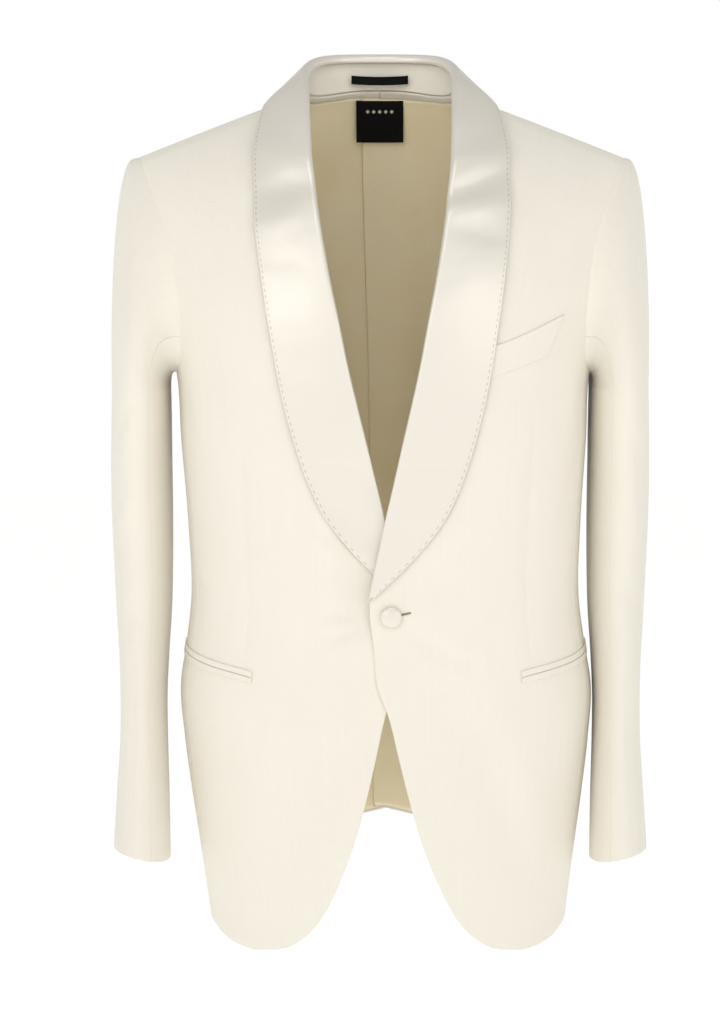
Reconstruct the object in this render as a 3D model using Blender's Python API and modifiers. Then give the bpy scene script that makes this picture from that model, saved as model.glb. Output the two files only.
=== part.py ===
"""A one-button shawl-collar dinner jacket, filled out as if worn, with no wearer.

Metres, +Z up. The front faces -Y and the wearer's left side is at +X. The origin lies midway between
the two points where the shoulder seams meet the neck. The torso pieces are thin walls on one body form,
the sleeves are walls on one tube, and the shawl is a wall through three guide curves.
"""
import math

import bpy
import numpy as np

# Driving sizes
CLOTH = 0.0020           # wall of the ivory cloth with its canvas
SHAWL = 0.0024           # wall of the satin facing with the cloth under it
LINING = 0.0010
LABEL = 0.0010
TRIM = 0.0012            # wall of the welt and the jets
SEAM = 0.0003            # gap between two pieces at a seam
LIE = 0.0010             # gap under a piece that lies on another
NECK_X = 0.071           # neck point of the shoulder seam
SHOULDER_SLOPE = 0.405
SHOULDER_ROUND = 0.050   # how softly the shoulder line levels off at the neck
POINT_X = 0.2245         # shoulder point, where the shoulder seam meets the sleeve
POINT_Z = -SHOULDER_SLOPE * (math.hypot(POINT_X, SHOULDER_ROUND) - math.hypot(NECK_X, SHOULDER_ROUND))
ROUNDNESS = 2.5          # superellipse power of a level section
LEAN = 0.010             # how far the torso leans to the wearer's left for each metre down
FRONT_SEAM = 0.74        # place of the front and side panel seam around the form
BACK_SEAM = 1.32         # place of the side and back panel seam
UNDERARM_ROW = 0.62      # share of a panel's rows that lie below the armhole
FRONT_TURN = 140.0       # degrees around the armhole, from the shoulder, where the front panel ends
BACK_TURN = 138.0        # the same for the back panel
BUTTON_RADIUS = 0.0095
BUTTON_X, BUTTON_Z = 0.0045, -0.4735
JET_HEIGHT = 0.0062
LEFT, RIGHT = 1, -1      # the wearer's sides


def table(columns, *rows):
    """A short table as a dict of named columns."""
    return dict(zip(columns.split(), np.array(rows, float).T))


# Half width of the torso form by height
WIDTH = table(
    "z half_width",
    (-0.820, 0.163),
    (-0.760, 0.169),
    (-0.700, 0.177),
    (-0.650, 0.184),
    (-0.600, 0.190),
    (-0.550, 0.193),
    (-0.510, 0.187),
    (-0.470, 0.182),
    (-0.400, 0.1835),
    (-0.320, 0.189),
    (-0.255, 0.193),
    (-0.225, 0.200),
    (-0.190, 0.2115),
    (-0.155, 0.223),
    (-0.120, 0.236),
    (-0.090, 0.247),
    (-0.060, 0.256),
    (0.020, 0.262),
)

# Depth of the torso form in front of and behind the shoulder line, by distance below that line
DEPTH = table(
    "drop front back",
    (0.000, 0.000, 0.000),
    (0.006, 0.0135, 0.0125),
    (0.015, 0.0265, 0.025),
    (0.030, 0.0435, 0.041),
    (0.055, 0.066, 0.062),
    (0.090, 0.0895, 0.085),
    (0.130, 0.109, 0.103),
    (0.170, 0.1225, 0.112),
    (0.210, 0.130, 0.115),
    (0.260, 0.133, 0.112),
    (0.340, 0.132, 0.101),
    (0.420, 0.128, 0.090),
    (0.480, 0.124, 0.088),
    (0.540, 0.121, 0.098),
    (0.600, 0.120, 0.112),
    (0.680, 0.120, 0.122),
    (0.820, 0.119, 0.127),
)

# How much fuller the back is close to the neck: an extra drop by distance from the centre
NAPE = table(
    "x extra_drop",
    (0.000, 0.085),
    (0.020, 0.080),
    (0.035, 0.070),
    (0.050, 0.055),
    (0.060, 0.042),
    (0.080, 0.030),
    (0.100, 0.021),
    (0.130, 0.010),
    (0.170, 0.002),
    (0.210, 0.000),
)

# The back neckline, up to the neck point
NECKLINE = table(
    "x z",
    (0.000, 0.0080),
    (0.020, 0.0072),
    (0.035, 0.0050),
    (0.050, 0.0020),
    (0.060, 0.0005),
    (0.066, 0.0002),
    (NECK_X, 0.0000),
)

# The armhole seam, in degrees from the shoulder point down to the underarm
ARMHOLE_FRONT = table(
    "turn x z",
    (0, POINT_X, POINT_Z),
    (14, 0.2195, -0.0710),
    (28, 0.2125, -0.0895),
    (42, 0.2045, -0.1100),
    (56, 0.1975, -0.1310),
    (72, 0.1905, -0.1600),
    (90, 0.1870, -0.1900),
    (108, 0.1858, -0.2150),
)
ARMHOLE_BACK = table(
    "turn x z",
    (0, POINT_X, POINT_Z),
    (14, 0.2225, -0.0730),
    (28, 0.2200, -0.0900),
    (45, 0.2165, -0.1120),
    (65, 0.2115, -0.1400),
    (85, 0.2050, -0.1680),
    (105, 0.1970, -0.1930),
    (122, 0.1880, -0.2140),
)
UNDERARM_FRONT = table(
    "turn around z",
    (FRONT_TURN, FRONT_SEAM, -0.2475),
    (160, 0.86, -0.2560),
    (180, 1.00, -0.2575),
)
UNDERARM_BACK = table(
    "turn around z",
    (BACK_TURN, BACK_SEAM, -0.2325),
    (160, 1.16, -0.2500),
    (180, 1.00, -0.2575),
)

# The hem from the front panel's seam to the centre back
HEM = table(
    "around z",
    (FRONT_SEAM, -0.7735),
    (0.90, -0.7680),
    (1.00, -0.7625),
    (1.15, -0.7525),
    (BACK_SEAM, -0.7400),
    (1.60, -0.7140),
    (1.80, -0.7015),
    (1.94, -0.6968),
    (2.00, -0.6960),
)

# Front edge of each front from the rounded hem corner up the cutaway, past the button and along the
# roll line to the neck. bend curves a row towards the hem. Below zero, x is past the centre front.
FRONT_EDGE = table(
    "row x z bend",
    (0.000, 0.1220, -0.7855, 1.7),
    (0.020, 0.0960, -0.7810, 1.6),
    (0.045, 0.0765, -0.7690, 1.4),
    (0.075, 0.0620, -0.7520, 1.2),
    (0.110, 0.0500, -0.7300, 1.0),
    (0.155, 0.0370, -0.6990, 1.0),
    (0.200, 0.0265, -0.6680, 1.0),
    (0.250, 0.0175, -0.6340, 1.0),
    (0.300, 0.0095, -0.6000, 1.0),
    (0.350, 0.0010, -0.5640, 1.0),
    (0.385, -0.0085, -0.5370, 1.0),
    (0.420, -0.0115, -0.5050, 1.0),
    (0.465, -0.0145, -0.4585, 1.0),
    (0.500, -0.0075, -0.4260, 1.0),
    (0.540, 0.0015, -0.3860, 1.0),
    (0.580, 0.0120, -0.3420, 1.0),
    (0.620, 0.0235, -0.2940, 1.0),
    (0.660, 0.0330, -0.2540, 1.0),
    (0.710, 0.0430, -0.2040, 1.0),
    (0.760, 0.0525, -0.1570, 1.0),
    (0.810, 0.0595, -0.1130, 1.0),
    (0.860, 0.0645, -0.0750, 1.0),
    (0.910, 0.0672, -0.0430, 1.0),
    (0.955, 0.0690, -0.0180, 1.0),
    (1.000, NECK_X, 0.0000, 1.0),
)

# The shawl where it lies on the front, from its tip at the button up to the shoulder: the roll line
# and the outer edge on the form, and how far each stands off the front
LAPEL = table(
    "fold_x fold_z fold_out edge_x edge_z edge_out",
    (-0.0145, -0.4585, 0.0016, -0.0100, -0.4525, 0.0016),
    (-0.0115, -0.4450, 0.0014, 0.0030, -0.4420, 0.0014),
    (-0.0075, -0.4260, 0.0010, 0.0235, -0.4225, 0.0010),
    (-0.0030, -0.4060, 0.0011, 0.0430, -0.4000, 0.0010),
    (0.0015, -0.3860, 0.0015, 0.0580, -0.3770, 0.0011),
    (0.0090, -0.3550, 0.0022, 0.0720, -0.3440, 0.0012),
    (0.0170, -0.3210, 0.0030, 0.0830, -0.3080, 0.0013),
    (0.0255, -0.2860, 0.0036, 0.0915, -0.2730, 0.0014),
    (0.0345, -0.2470, 0.0042, 0.0985, -0.2350, 0.0015),
    (0.0425, -0.2065, 0.0048, 0.1045, -0.1960, 0.0016),
    (0.0500, -0.1700, 0.0054, 0.1095, -0.1610, 0.0018),
    (0.0565, -0.1330, 0.0060, 0.1135, -0.1270, 0.0020),
    (0.0618, -0.0970, 0.0066, 0.1150, -0.0920, 0.0024),
    (0.0655, -0.0640, 0.0080, 0.1145, -0.0610, 0.0030),
    (0.0680, -0.0330, 0.0100, 0.1115, -0.0350, 0.0038),
)

# The shawl behind the shoulder, to the centre back: fold and outer edge in space
COLLAR = table(
    "fold_x fold_y fold_z edge_x edge_y edge_z",
    (0.0715, -0.0180, 0.0030, 0.1065, -0.0080, -0.0120),
    (0.0728, 0.0080, 0.0180, 0.1020, 0.0180, -0.0110),
    (0.0690, 0.0330, 0.0285, 0.0920, 0.0480, -0.0130),
    (0.0585, 0.0540, 0.0350, 0.0735, 0.0760, -0.0110),
    (0.0420, 0.0690, 0.0378, 0.0510, 0.0915, -0.0080),
    (0.0210, 0.0760, 0.0388, 0.0255, 0.0985, -0.0062),
    (0.0000, 0.0780, 0.0390, 0.0000, 0.1005, -0.0055),
)

# One sleeve below the underarm: level sections from the biceps to the cuff
SLEEVE = table(
    "z inner_x outer_x middle_y half_depth",
    (-0.272, 0.1965, 0.2500, 0.003, 0.0790),
    (-0.300, 0.1962, 0.2510, 0.005, 0.0780),
    (-0.340, 0.1960, 0.2520, 0.007, 0.0750),
    (-0.385, 0.1955, 0.2518, 0.007, 0.0720),
    (-0.430, 0.1955, 0.2500, 0.005, 0.0690),
    (-0.480, 0.1965, 0.2475, 0.001, 0.0665),
    (-0.520, 0.1990, 0.2450, -0.004, 0.0650),
    (-0.560, 0.2007, 0.2435, -0.009, 0.0635),
    (-0.600, 0.2000, 0.2435, -0.015, 0.0615),
    (-0.645, 0.1985, 0.2460, -0.021, 0.0600),
    (-0.706, 0.1970, 0.2495, -0.030, 0.0580),
)
SLEEVE_ROUNDNESS = 2.2
SLEEVE_FRONT_SEAM = 115.0    # degrees from the outer side through the front
SLEEVE_BACK_SEAM = 255.0
CAP_SQUARENESS = 0.58        # below 1 the sleeve head turns down sooner, for a crisp shoulder
HEAD_ROWS = (0.0, 0.04, 0.15, 0.34, 0.62)
CUFF_SLANT_X = 0.245         # the cuff's edge rises outwards
CUFF_SLANT_Y = -0.06         # and falls to the back


# The body form

def smooth(rows, key, column, at):
    """A cubic Hermite curve through a table's column."""
    keys, values = rows[key], rows[column]
    if keys[0] > keys[-1]:
        keys, values = keys[::-1], values[::-1]
    at = np.clip(np.asarray(at, float), keys[0], keys[-1])
    slopes = np.gradient(values, keys)
    i = np.clip(np.searchsorted(keys, at) - 1, 0, len(keys) - 2)
    step = keys[i + 1] - keys[i]
    t = (at - keys[i]) / step
    return (values[i] * (1 + 2 * t) * (1 - t) ** 2 + slopes[i] * step * t * (1 - t) ** 2
            + values[i + 1] * t * t * (3 - 2 * t) + slopes[i + 1] * step * t * t * (t - 1))


def ease(t):
    """0 to 1 with level ends."""
    t = np.clip(t, 0.0, 1.0)
    return t * t * (3 - 2 * t)


def shoulder_line(x):
    """Height of the shoulder ridge at a distance from the centre."""
    return -SHOULDER_SLOPE * (np.hypot(x, SHOULDER_ROUND) - math.hypot(NECK_X, SHOULDER_ROUND))


def top_line(x):
    """Upper edge of the torso panels: the back neckline, then the shoulder ridge."""
    return np.where(x < NECK_X, smooth(NECKLINE, "x", "z", x), shoulder_line(x))


def wrap_angle(around):
    """Section angle for a place around the form: 0 centre front, 1 side, 2 centre back."""
    power = ROUNDNESS / 2
    part = np.where(around > 1, 2 - around, around)
    near = np.abs(part) ** power
    share = near / (near + (1 - np.abs(part)) ** power)
    return np.sign(part) * share * math.pi / 2


def around_at(x, z):
    """Place around the form, on its front half, of a point given by its distance from the centre."""
    ratio = np.clip(np.abs(x) / smooth(WIDTH, "z", "half_width", z), 0, 0.9999)
    share = np.arcsin(ratio ** (ROUNDNESS / 2)) / (math.pi / 2)
    odds = (share / (1 - share)) ** (2 / ROUNDNESS)
    return np.sign(x) * odds / (1 + odds)


def form(side, around, z):
    """Point of the body form: a superellipse section whose depth follows the drop from the shoulder."""
    around, z = np.broadcast_arrays(np.asarray(around, float), np.asarray(z, float))
    angle = wrap_angle(around)
    x = smooth(WIDTH, "z", "half_width", z) * np.abs(np.sin(angle)) ** (2 / ROUNDNESS)
    drop = shoulder_line(x) - z
    extra = smooth(NAPE, "x", "extra_drop", x) * (1 - np.exp(-np.maximum(drop, 0) / 0.003))
    depth = np.where(
        around > 1,
        smooth(DEPTH, "drop", "back", drop + extra),
        -smooth(DEPTH, "drop", "front", drop),
    )
    y = depth * np.cos(angle) ** (2 / ROUNDNESS)
    return np.stack([side * np.sign(angle) * x - LEAN * z, y, z], -1)


def unit(vectors):
    return vectors / np.linalg.norm(vectors, axis=-1, keepdims=True)


def form_normal(side, around, z):
    """Outward unit normal by small differences. On the shoulder seam it turns to the upright, which
    the front and the back then share."""
    small = 0.002
    point = form(side, around, z)
    across = form(side, around + small, z) - form(side, around - small, z)
    down = point - form(side, around, z - small)
    normal = unit(side * np.cross(across, down))
    drop = shoulder_line(np.abs(point[..., 0] + LEAN * point[..., 2])) - z
    upright = np.where(np.abs(point[..., 0]) > NECK_X * 0.8, np.exp(-np.maximum(drop, 0) / 0.007), 0)
    return unit(normal * (1 - upright[..., None]) + upright[..., None] * np.array((0.0, 0.0, 1.0)))


def tuck(side, x, z):
    """How far the right front lies under the left one near the centre front."""
    if side == LEFT:
        return 0.0 * x
    under = 0.0030 + 0.0042 * ease((z + 0.500) / 0.035)
    return under * ease((0.055 - x) / 0.037) * ease((z + 0.640) / 0.08) * ease((-0.30 - z) / 0.06)


def on_form(side, around, z, out=0.0):
    """Point on the form moved out along its normal, with the right front tucked under the left."""
    around, z = np.broadcast_arrays(np.asarray(around, float), np.asarray(z, float))
    x = smooth(WIDTH, "z", "half_width", z) * np.abs(np.sin(wrap_angle(around))) ** (2 / ROUNDNESS)
    x = np.where(around > 1, 1.0, np.sign(around) * x)
    move = np.asarray(out) - tuck(side, x, z)
    return form(side, around, z) + form_normal(side, around, z) * move[..., None]


def armhole(turn, front):
    """Place around the form and height on the armhole seam, by degrees from the shoulder point."""
    upper, under = (ARMHOLE_FRONT, UNDERARM_FRONT) if front else (ARMHOLE_BACK, UNDERARM_BACK)
    places = around_at(upper["x"], upper["z"])
    seam = {
        "turn": np.append(upper["turn"], under["turn"]),
        "around": np.append(places if front else 2 - places, under["around"]),
        "z": np.append(upper["z"], under["z"]),
    }
    return smooth(seam, "turn", "around", turn), smooth(seam, "turn", "z", turn)


def panel_end(row, front):
    """Outer end of a front or back panel's row: its side seam, then the armhole."""
    seam = FRONT_SEAM if front else BACK_SEAM
    last_turn = FRONT_TURN if front else BACK_TURN
    hem = smooth(HEM, "around", "z", seam)
    top = armhole(last_turn, front)[1]
    above = np.clip((row - UNDERARM_ROW) / (1 - UNDERARM_ROW), 0, 1)
    arm_around, arm_z = armhole(last_turn * (1 - above), front)
    below_z = hem + (top - hem) * row / UNDERARM_ROW
    low = row < UNDERARM_ROW
    return np.where(low, seam, arm_around), np.where(low, below_z, arm_z)


def rows_between(first, last, bend, row, columns):
    """Grid of places and heights between two edges. Near the top the rows follow the top line."""
    share = np.asarray(columns)[None, :]
    (around0, z0), (around1, z1) = [[edge[:, None] for edge in pair] for pair in (first, last)]
    around = around0 + (around1 - around0) * share
    level = z0 + (z1 - z0) * share ** bend[:, None]
    follow = ease((row - UNDERARM_ROW) / (1 - UNDERARM_ROW))[:, None]
    z = level
    for _ in range(3):
        x = smooth(WIDTH, "z", "half_width", z) * np.abs(np.sin(wrap_angle(around))) ** (2 / ROUNDNESS)
        line = top_line(x)
        z = level + follow * (line - line[:, :1] * (1 - share) - line[:, -1:] * share)
    return around, z


# Turning grids into cloth

def inset(grid, first=SEAM / 2, last=SEAM / 2, top=SEAM / 2):
    """The grid with its edges drawn in, so that two pieces never meet at a seam."""
    grid = grid.copy()
    for edge, near, gap in ((0, 1, first), (-1, -2, last)):
        grid[:, edge] += unit(grid[:, near] - grid[:, edge]) * gap
    grid[-1] += unit(grid[-2] - grid[-1]) * top
    return grid


def make_material(name, colour, roughness, metallic=0.0):
    """A plain Principled material."""
    material = bpy.data.materials.new(name)
    material.use_nodes = True
    shader = material.node_tree.nodes["Principled BSDF"]
    shader.inputs["Base Color"].default_value = (*colour, 1.0)
    shader.inputs["Roughness"].default_value = roughness
    shader.inputs["Metallic"].default_value = metallic
    return material


def sheet(name, outer, inner, material, outward):
    """A closed wall of cloth lofted between two grids. Walls that meet at a seam share one normal, and
    walls that lie on each other are cut into triangles alike, so that none of them cross. The faces
    point out where outward is true; a piece of the other side is mirrored."""
    rows, columns = outer.shape[:2]
    count = rows * columns
    index = np.arange(count).reshape(rows, columns)
    corners = [index[:-1, :-1], index[:-1, 1:], index[1:, 1:], index[1:, :-1]]
    halves = [np.stack([corners[i] for i in half], -1).reshape(-1, 3) for half in ((0, 1, 2), (0, 2, 3))]
    skin = np.concatenate(halves)
    border = np.concatenate([index[0], index[1:, -1], index[-1, -2::-1], index[-2:0:-1, 0]])
    ahead = np.roll(border, -1)
    rim = np.concatenate([np.stack(corners, -1) for corners in (
        (ahead, border, border + count), (ahead, border + count, ahead + count))])
    faces = np.concatenate([skin, skin[:, ::-1] + count, rim])
    if not outward:
        faces = faces[:, ::-1]
    mesh = bpy.data.meshes.new(name)
    points = np.concatenate([outer.reshape(-1, 3), inner.reshape(-1, 3)])
    mesh.from_pydata(points.tolist(), [], faces.tolist())
    mesh.materials.append(material)
    mesh.shade_smooth()
    mesh.set_sharp_from_angle(angle=math.radians(50))
    piece = bpy.data.objects.new(name, mesh)
    jacket.objects.link(piece)
    return piece


# Torso panels

def panel(name, side, around, z, material, out=0.0, wall=CLOTH, **gaps):
    """A wall on the body form, given by the places and heights of its grid."""
    outer = inset(on_form(side, around, z, out), **gaps)
    inner = inset(on_form(side, around, z, out - wall), **gaps)
    return sheet(name, outer, inner, material, side == LEFT)


def front_rows():
    columns = (0.0, 0.05, 0.18, 0.34, 0.50, 0.66, 0.81, 0.95, 1.0)
    row, x, z = (FRONT_EDGE[name] for name in ("row", "x", "z"))
    return rows_between((around_at(x, z), z), panel_end(row, True), FRONT_EDGE["bend"], row, columns)


def underarm_height(around):
    """Upper edge of the side panel."""
    places_front, heights_front = armhole(np.linspace(FRONT_TURN, 180, 9), True)
    places_back, heights_back = armhole(np.linspace(180, BACK_TURN, 9), False)
    places = np.append(places_front, places_back[1:])
    return np.interp(around, places, np.append(heights_front, heights_back[1:]))


def side_rows():
    columns = np.array((0.0, 0.06, 0.28, 0.5, 0.72, 0.94, 1.0))
    around = FRONT_SEAM + (BACK_SEAM - FRONT_SEAM) * columns
    hem, top = smooth(HEM, "around", "z", around), underarm_height(around)
    row = FRONT_EDGE["row"]
    z = hem + (top - hem) * row[row <= UNDERARM_ROW][:, None] / UNDERARM_ROW
    return around + 0 * z, z


def back_rows():
    """From the side seam and armhole to the centre back, with close rows over the nape."""
    row = np.concatenate([(0.0, 0.03), np.linspace(0.09, 0.87, 14), (0.90, 0.93, 0.95, 0.965, 0.98, 1.0)])
    columns = (0.0, 0.05, 0.2, 0.36, 0.5, 0.62, 0.78, 0.96, 1.0)
    hem, neck = HEM["z"][-1], NECKLINE["z"][0]
    centre = (2 + 0 * row, hem + (neck - hem) * row)
    around, z = rows_between(centre, panel_end(row, False), 1 + 0 * row, row, columns)
    return around[:, ::-1], z[:, ::-1]


def lining(name, side):
    """Back lining just inside the back panel. The left half laps the right one in a centre pleat."""
    around, z = (grid[1:-1] for grid in back_rows())
    depth = CLOTH + LIE * 1.2
    if side == RIGHT:
        return panel(name, side, around, z, twill, -depth, LINING, first=0.002, top=0.002)
    past = np.array((2.02, 2.05))
    around = np.append(around, past + 0 * z[:, :1], axis=1)
    z = np.append(z, z[:, -2:][:, ::-1], axis=1)
    step = 0.0030 * ease((around - 1.86) / 0.08)
    return panel(name, side, around, z, twill, -depth - step, LINING, first=0.002, last=0.0, top=0.002)


# Sleeves

def armhole_point(side, turn):
    """The armhole seam as a closed curve: turn runs from the shoulder through the front and back."""
    turn = np.asarray(turn, float) % 360
    front = on_form(side, *armhole(np.minimum(turn, 180), True))
    back = on_form(side, *armhole(np.minimum(360 - turn, 180), False))
    point = np.where((turn <= 180)[..., None], front, back)
    point[..., 0] += side * SEAM * 2
    return point


def sleeve_section(side, turn, z):
    """Superellipse section of the sleeve, slanting towards the cuff."""
    inner, outer, middle_y, half_depth = (
        smooth(SLEEVE, "z", name, z) for name in ("inner_x", "outer_x", "middle_y", "half_depth"))
    angle = np.radians(turn)
    power = 2 / SLEEVE_ROUNDNESS
    across = (outer - inner) / 2 * np.sign(np.cos(angle)) * np.abs(np.cos(angle)) ** power
    along = -half_depth * np.sign(np.sin(angle)) * np.abs(np.sin(angle)) ** power
    slant = ease((-0.45 - z) / (0.45 - 0.706) * -1)
    height = z + slant * (CUFF_SLANT_X * across + CUFF_SLANT_Y * along)
    return np.stack(np.broadcast_arrays(side * ((inner + outer) / 2 + across), middle_y + along, height), -1)


def sleeve_point(side, turn, down):
    """Point of the sleeve. down 0 to 1 is the head, which fans from the armhole to the first level
    section; 1 to 2 is the tube, down to the cuff."""
    turn, down = np.broadcast_arrays(np.asarray(turn, float), np.asarray(down, float))
    top, cuff = SLEEVE["z"][0], SLEEVE["z"][-1]
    seam, first = armhole_point(side, turn), sleeve_section(side, turn, top + 0 * turn)
    swing = np.clip(down, 0, 1)[..., None] * math.pi / 2
    head = seam + (first - seam) * np.sin(swing) ** CAP_SQUARENESS
    head[..., 2] = (seam + (first - seam) * (1 - np.cos(swing)))[..., 2]
    tube = sleeve_section(side, turn, top + (cuff - top) * np.clip(down - 1, 0, 1))
    return np.where((down > 1)[..., None], tube, head)


def sleeve_normal(side, turn, down):
    ahead, behind = np.minimum(down + 0.02, 2), np.maximum(down - 0.02, 0.0)
    across = sleeve_point(side, turn + 2, down) - sleeve_point(side, turn - 2, down)
    along = sleeve_point(side, turn, behind) - sleeve_point(side, turn, ahead)
    return unit(side * np.cross(along, across))


def sleeve(name, side, turns):
    """One of a sleeve's two pieces, between two of its lengthwise seams."""
    turn, down = np.meshgrid(turns, np.append(HEAD_ROWS, np.linspace(1, 2, 10)))
    outer = sleeve_point(side, turn, down)
    inner = outer - sleeve_normal(side, turn, down) * CLOTH
    outer, inner = (inset(grid, top=0.0) for grid in (outer, inner))
    return sheet(name, outer, inner, ivory, side == LEFT)


# Shawl collar

def guide_curves(side):
    """Fold, middle and outer edge of the shawl, from the tip at the button to the centre back."""
    fold = on_form(side, around_at(LAPEL["fold_x"], LAPEL["fold_z"]), LAPEL["fold_z"], LAPEL["fold_out"])
    edge = on_form(side, around_at(LAPEL["edge_x"], LAPEL["edge_z"]), LAPEL["edge_z"], LAPEL["edge_out"])
    middle_z = (LAPEL["fold_z"] + LAPEL["edge_z"]) / 2
    middle_around = (around_at(LAPEL["fold_x"], LAPEL["fold_z"])
                     + around_at(LAPEL["edge_x"], LAPEL["edge_z"])) / 2
    lift = (LAPEL["fold_out"] + LAPEL["edge_out"]) / 2 + 0.0006
    middle = on_form(side, middle_around, middle_z, lift)
    upper = np.stack([COLLAR[name] for name in ("fold_x", "fold_y", "fold_z")], -1)
    lower = np.stack([COLLAR[name] for name in ("edge_x", "edge_y", "edge_z")], -1)
    outwards = np.stack([lower[:, 0] * 0.5 + 0.02, lower[:, 1] * 0.6 + 0.01, 0.05 + 0 * lower[:, 0]], -1)
    outwards /= np.linalg.norm(outwards, axis=-1, keepdims=True)
    bulge = (upper + lower) / 2 + outwards * 0.004
    bulge[-1, 0] = 0
    turn = np.array((side, 1, 1))
    return [np.concatenate([a, b * turn]) for a, b in ((fold, upper), (middle, bulge), (edge, lower))]


def shawl(name, side):
    """Each row is the parabola through fold, middle and edge, which is the wall's under side."""
    fold, middle, edge = (curve[:, None] for curve in guide_curves(side))
    s = np.array((0.0, 0.12, 0.36, 0.64, 0.88, 1.0))[None, :, None]
    control = 2 * middle - (fold + edge) / 2
    inner = fold * (1 - s) ** 2 + 2 * control * s * (1 - s) + edge * s ** 2
    normal = unit(side * np.cross(np.gradient(inner, axis=1), np.gradient(inner, axis=0)))
    outer = inner + normal * SHAWL
    for grid in (inner, outer):
        grid[-1, :, 0] = side * SEAM / 2
    return sheet(name, outer, inner, satin, side == LEFT)


def stand():
    """The band inside the neck, from the neck seam up to just under the fold of the shawl."""
    fold = np.stack([COLLAR[name] for name in ("fold_x", "fold_y", "fold_z")], -1)
    x = np.array((0.0704, NECK_X, 0.0640, 0.0520, 0.0370, 0.0190, 0.0))
    z = np.append(-0.006, top_line(x[1:]))
    on_front = form(LEFT, around_at(x[:2], z[:2]), z[:2])
    on_back = form(LEFT, 2 - around_at(x[2:], z[2:] - 0.001), z[2:] - 0.001)
    seam = np.concatenate([on_front, on_back])
    seam[:, 0] += LEAN * seam[:, 2]
    inwards = -unit(fold * np.array((1, 0.8, 0)))
    top = fold + inwards * 0.0020 + np.array((0, 0, -0.0025))
    bottom = seam + inwards * 0.0012 + np.array((0, 0, 0.0016))
    half = bottom[None] + (top - bottom)[None] * np.linspace(0, 1, 4)[:, None, None]
    inner_half = half + inwards * 0.0016
    outer, inner = (
        np.concatenate([grid, grid[:, ::-1][:, 1:] * np.array((-1, 1, 1))], axis=1)
        for grid in (half, inner_half))
    return sheet("collar_stand", outer, inner, ivory, True)


# Pockets, button, loop and label

def breast_welt():
    """Breast welt on the left front: it rises towards the armhole, and its ends slant."""
    share = np.linspace(0, 1, 7)
    low_x, high_x = 0.0975 + 0.0500 * share, 0.1015 + 0.0620 * share
    low_z, high_z = -0.2590 + 0.0190 * share, -0.2300 + 0.0275 * share ** 1.2
    up = np.linspace(0, 1, 4)[:, None]
    x, z = low_x + (high_x - low_x) * up, low_z + (high_z - low_z) * up
    return panel("breast_welt", LEFT, around_at(x, z), z, ivory, LIE + TRIM, TRIM, first=0, last=0, top=0)


def hip_jet(name, side, upper):
    """One of the two jets of a hip pocket, slanting up towards the side seam and past it."""
    around = np.linspace(0.411, 0.95, 11)
    share = (around - around[0]) / (around[-1] - around[0])
    middle = -0.5315 + 0.0190 * share ** 0.8
    offset = (1 if upper else -1) * (JET_HEIGHT / 2 + SEAM)
    z = middle + offset + JET_HEIGHT * np.array((-0.5, 0.5))[:, None]
    return panel(name, side, around + 0 * z, z, ivory, LIE + TRIM, TRIM, first=0, last=0, top=0)


def button(material):
    """A satin-covered button with its shank, turned about an axis that points out of the front."""
    profile = (
        (0.0, 0.0056), (0.0045, 0.0054), (0.0078, 0.0045), (BUTTON_RADIUS, 0.0028), (0.0092, 0.0019),
        (0.0080, 0.0014), (0.0030, 0.0014), (0.0028, 0.0), (0.0, 0.0),
    )
    mesh = bpy.data.meshes.new("button")
    mesh.from_pydata([(r, 0, h) for r, h in profile], [(i, i + 1) for i in range(len(profile) - 1)], [])
    mesh.materials.append(material)
    piece = bpy.data.objects.new("button", mesh)
    jacket.objects.link(piece)
    screw = piece.modifiers.new("Turn", "SCREW")
    screw.steps = screw.render_steps = 20
    screw.use_merge_vertices = True
    screw.merge_threshold = 0.0001
    around = around_at(np.array(BUTTON_X), np.array(BUTTON_Z))
    piece.location = on_form(LEFT, around, np.array(BUTTON_Z), SEAM)
    piece.rotation_euler = (math.pi / 2, 0, 0)
    return piece


def label():
    """A woven patch on the lining at the centre back, just below the neck."""
    x = np.linspace(0.0225, -0.0225, 7)
    z = -0.0406 + 0.0390 * np.linspace(0, 1, 6)[:, None] + 0 * x
    around = 2 - around_at(x, z)
    depth = CLOTH + LIE * 1.2 + LINING + 0.0052
    return panel("label", LEFT, around, z, black, -depth, LABEL, first=0, last=0, top=0)


def hanger_loop():
    """A flat tape across the inside of the stand, a little slack in the middle."""
    x = np.linspace(-0.027, 0.027, 9)
    y = 0.0715 - 4.2 * x ** 2 - 0.0012 * (1 - (x / 0.027) ** 2)
    z = np.array((0.0135, 0.0215))[:, None]
    outer = np.stack(np.broadcast_arrays(x, y, z), -1)
    return sheet("hanger_loop", outer, outer - np.array((0, LABEL, 0)), black, False)


# Build

for old in list(bpy.data.objects):
    bpy.data.objects.remove(old, do_unlink=True)
jacket = bpy.data.collections.new("dinner_jacket")
bpy.context.scene.collection.children.link(jacket)

ivory = make_material("ivory_wool", (0.90, 0.86, 0.76), 0.75)
satin = make_material("ivory_silk_satin", (0.88, 0.85, 0.78), 0.35)
twill = make_material("lining_twill", (0.80, 0.75, 0.62), 0.5)
black = make_material("black_weave", (0.02, 0.02, 0.02), 0.6)

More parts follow.
